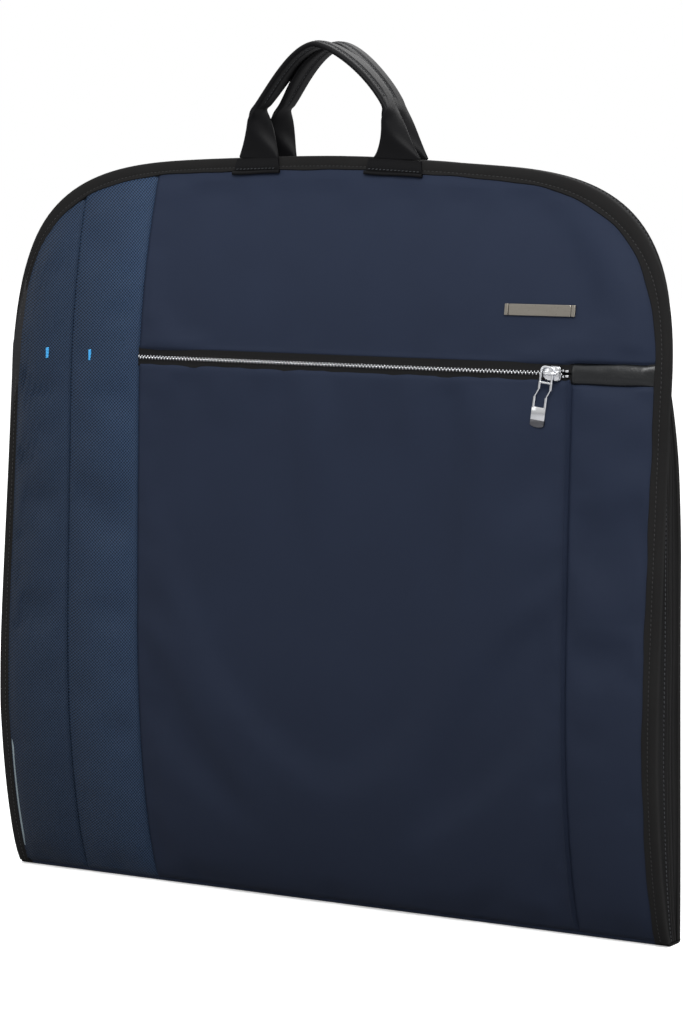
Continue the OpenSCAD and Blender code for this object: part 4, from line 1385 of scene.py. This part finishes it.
def handlePiece(name, side, seat, places):
    # one strap: flat at each sewn base, twisting up into a folded grip
    leftLeg = handleLoops(side, seat, places["legs"][0])
    rightLeg = handleLoops(side, seat, places["legs"][1])
    path = gripPath(places["legs"][0]["waist"], places["legs"][1]["waist"], places["peak"],
                    handle["waist"], handle["peak"] - handle["gripThick"] / 2)
    grip = []
    wide = 16
    for i, spot in enumerate(path):
        a, b = path[max(0, i - 1)], path[min(len(path) - 1, i + 1)]
        along = (b - a).normalized()
        out = Vector((-along.z, 0, along.x))
        share = math.sin(math.pi * i / (len(path) - 1))
        nest = places["nestSide"] * handle["nest"] * math.sin(
            2 * math.pi * i / (len(path) - 1)) ** 2
        y = seat + places["lean"] * share
        ends = smooth(min(i, len(path) - 1 - i) / 4)
        thick = handle["gripThick"]
        ring = []
        for face in (-1, 1):
            order = range(wide + 1) if face < 0 else range(wide, -1, -1)
            for j in order:
                v = (j / wide - 0.5) * 2
                w = handle["gripWide"] / 2 * v + nest * max(0.0, v * places["nestSide"])
                rounded = (1 - abs(v) ** 6) ** 0.5 if abs(v) < 1 else 0.0
                flap = 0.7 * ends if v > -0.25 else 0.0
                h = face * (thick / 2 * max(0.3, rounded) + flap * (v < 0.95))
                ring.append(Vector((spot.x, y + side * -w, spot.z)) + out * h)
        grip.append(ring)

    def aligned(ring, target):
        # the same start and way round as the ring before it
        best, chosen = None, ring
        for candidate in (ring, list(reversed(ring))):
            for shift in range(len(candidate)):
                turned = candidate[shift:] + candidate[:shift]
                cost = sum((p - q).length_squared for p, q in zip(turned[::3], target[::3]))
                if best is None or cost < best:
                    best, chosen = cost, turned
        return chosen

    loops = list(leftLeg)
    for ring in grip[1:-1]:
        loops.append(aligned(ring, loops[-1]))
    for ring in reversed(rightLeg):
        loops.append(aligned(ring, loops[-1]))
    piece = meshPiece(name, [tuple(p) for ring in loops for p in ring],
                      tubeFaces(len(loops), len(loops[0])), 60)
    subdivision = piece.modifiers.new("smooth", "SUBSURF")
    subdivision.levels = 1
    subdivision.render_levels = 1
    applyAll(piece)
    smoothPiece(piece, 70)
    return piece, path


handleSpecs = {
    "front": {"side": -1, "body": "front_half", "handleBody": "front_handle", "places": {
        "legs": ({"left": -79.6, "right": -44.0, "waist": -60.8, "leftBend": 1.05,
                  "rightBend": 1.5},
                 {"left": 32.8, "right": 76.0, "waist": 50.5, "leftBend": 0.6,
                  "rightBend": 1.0}),
        "peak": -13.0, "lean": 2.5, "nestSide": 1}},
    "rear": {"side": 1, "body": "rear_half", "handleBody": "rear_handle", "places": {
        "legs": ({"left": -81.0, "right": -43.0, "waist": -54.6, "leftBend": 1.1,
                  "rightBend": 1.4},
                 {"left": 27.0, "right": 69.0, "waist": 45.0, "leftBend": 0.8,
                  "rightBend": 1.1}),
        "peak": -7.5, "lean": -2.5, "nestSide": -1}},
}
for handleName, spec in handleSpecs.items():
    side = spec["side"]
    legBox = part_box(handleName + "_handle_legs")
    seat = (legBox[0].y + legBox[1].y) * 500
    # both straps are folded the same way round, so the rear one turns as the front one does
    strap, path = handlePiece(handleName + "HandleStrap", -1, seat, spec["places"])
    finishPiece(strap, None, "handle_twill", "handleTwill", handleName + "_handle_legs",
                handleName + "_handle_grip")
    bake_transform(strap)
    # seams along the folded grip, one on each face
    rows = []
    seamPath = path[2:-2]
    for face in (-1, 1):
        spots = []
        for i, spot in enumerate(seamPath):
            a, b = seamPath[max(0, i - 1)], seamPath[min(len(seamPath) - 1, i + 1)]
            along = (b - a).normalized()
            out = Vector((-along.z, 0, along.x))
            share = math.sin(math.pi * (i + 2) / (len(path) - 1))
            y = seat + spec["places"]["lean"] * share
            here = Vector((spot.x, y - 3.4, spot.z)) + out * face * 2.45
            spots.append(tuple(here))
        rows += rowPlaces(spots, 2.9, lambda at, face=face: (0, 0, face), 0.1)
    gripStitches = repeatPiece(handleName + "GripStitches", threadPiece(2.0, 0.6), rows)
    finishPiece(gripStitches, spec["handleBody"], "handle_twill", "threadGrey")

    tabs = []
    stitchRows = []
    surface = halves[handleName]["surface"]
    for leg in spec["places"]["legs"]:
        baseX = (leg["left"] + leg["right"]) / 2
        legHalf = (leg["right"] - leg["left"]) / 2

        def tabColumn(u, baseX=baseX, legHalf=legHalf):
            for z in (543.5, 545, 547, 549, 551, 552.5, 553.4):
                x = baseX + u * (legHalf + 2.0 * (1 - smooth((z - 543) / 10)))
                share = smooth((z - 547) / 6)
                flat = surface(x, 548) + side * 2.4
                y = flat * (1 - share) + seat * share + side * (1.3 * share)
                yield (x, y, z), (x, y - side * 2.0, z)

        tabs.append(slabPiece("tab", evenly(-1, 1, 14), tabColumn))
        hemHalf = legHalf + 2.4
        hem = [(baseX + hemHalf * (i / 5 - 1),
                surface(baseX, 543) + side * (2.2 + 0.2 * math.sin(i)),
                542.9 - 0.3 * math.sin(i * 0.6)) for i in range(11)]
        tabs.append(wirePiece("hem", hem, 1.35))
        threadDepth = surface(baseX, 546) + side * 2.75
        stitchRows += rowPlaces([(baseX + end * legHalf, threadDepth, 545.6) for end in (-1, 1)],
                                3.1, (0, side, 0), 0.3)
    finishPiece(joinPieces(handleName + "HandleTabs", *tabs), spec["body"], "handle_twill",
                "handleTwill", handleName + "_handle_tabs")
    tabStitches = repeatPiece(handleName + "TabStitches", threadPiece(2.2, 0.7), stitchRows)
    finishPiece(tabStitches, spec["body"], "handle_twill", "threadGrey")
print("handles made")


# ---- floor and lights ----
def floorPiece():
    pickOnly(bagCamera)
    bpy.ops.mesh.primitive_plane_add(size=24)
    floor = bpy.context.active_object
    floor.name = "paleFloor"
    bench = NodeBench("paleFloor")
    # pale to look at, but dimmer as a source of light, so the bag darkens towards its foot
    path = bench.node("ShaderNodeLightPath")
    tone = bench.node("ShaderNodeMix", data_type="RGBA")
    tone.inputs["A"].default_value = (0.40, 0.40, 0.41, 1)
    tone.inputs["B"].default_value = (0.97, 0.97, 0.97, 1)
    bench.plug(path.outputs["Is Camera Ray"], tone.inputs["Factor"])
    bench.plug(tone.outputs["Result"], bench.shader.inputs["Base Color"])
    bench.shader.inputs["Emission Color"].default_value = (1, 1, 1, 1)
    bench.plug(bench.sums("MULTIPLY", path.outputs["Is Camera Ray"], 0.35),
               bench.shader.inputs["Emission Strength"])
    bench.shader.inputs["Roughness"].default_value = 0.9
    floor.data.materials.append(bench.material)


def softLight(name, place, size, power):
    light = bpy.data.lights.new(name, "AREA")
    light.shape = "RECTANGLE"
    light.size, light.size_y = size
    light.energy = power
    lamp = bpy.data.objects.new(name, light)
    bpy.context.scene.collection.objects.link(lamp)
    lamp.location = place
    toward = Vector((0, 0, 0.3)) - Vector(place)         # they all aim at the bag's middle
    lamp.rotation_euler = toward.to_track_quat("-Z", "Y").to_euler()


floorPiece()
softLight("keyLight", (0.9, -1.6, 2.2), (1.4, 1.4), 46)
softLight("fillLight", (-2.4, -2.2, 1.6), (1.8, 1.8), 7)
softLight("sideLight", (2.8, -0.2, 1.0), (1.2, 2.0), 14)
softLight("backLight", (0.0, 2.6, 2.2), (2.4, 1.6), 30)


def paleWorld():
    # brightest overhead and dimmer below, while the backdrop itself stays white
    world = bpy.data.worlds.new("paleWorld")
    world.use_nodes = True
    tree = world.node_tree
    backdrop = tree.nodes["Background"]
    backdrop.inputs["Color"].default_value = (1, 1, 1, 1)
    place = tree.nodes.new("ShaderNodeTexCoord")
    split = tree.nodes.new("ShaderNodeSeparateXYZ")
    tree.links.new(place.outputs["Generated"], split.inputs["Vector"])
    topLightRamp = tree.nodes.new("ShaderNodeMapRange")
    for socket, value in zip(("From Min", "From Max", "To Min", "To Max"),
                             (-0.2, 0.8, 0.35, 1.1)):
        topLightRamp.inputs[socket].default_value = value
    tree.links.new(split.outputs["Z"], topLightRamp.inputs["Value"])
    path = tree.nodes.new("ShaderNodeLightPath")
    seen = tree.nodes.new("ShaderNodeMath")
    seen.operation = "MAXIMUM"
    tree.links.new(path.outputs["Is Camera Ray"], seen.inputs[0])
    tree.links.new(topLightRamp.outputs["Result"], seen.inputs[1])
    tree.links.new(seen.outputs["Value"], backdrop.inputs["Strength"])
    bpy.context.scene.world = world


paleWorld()
bpy.context.scene.view_settings.view_transform = "Standard"

print("bag finished")
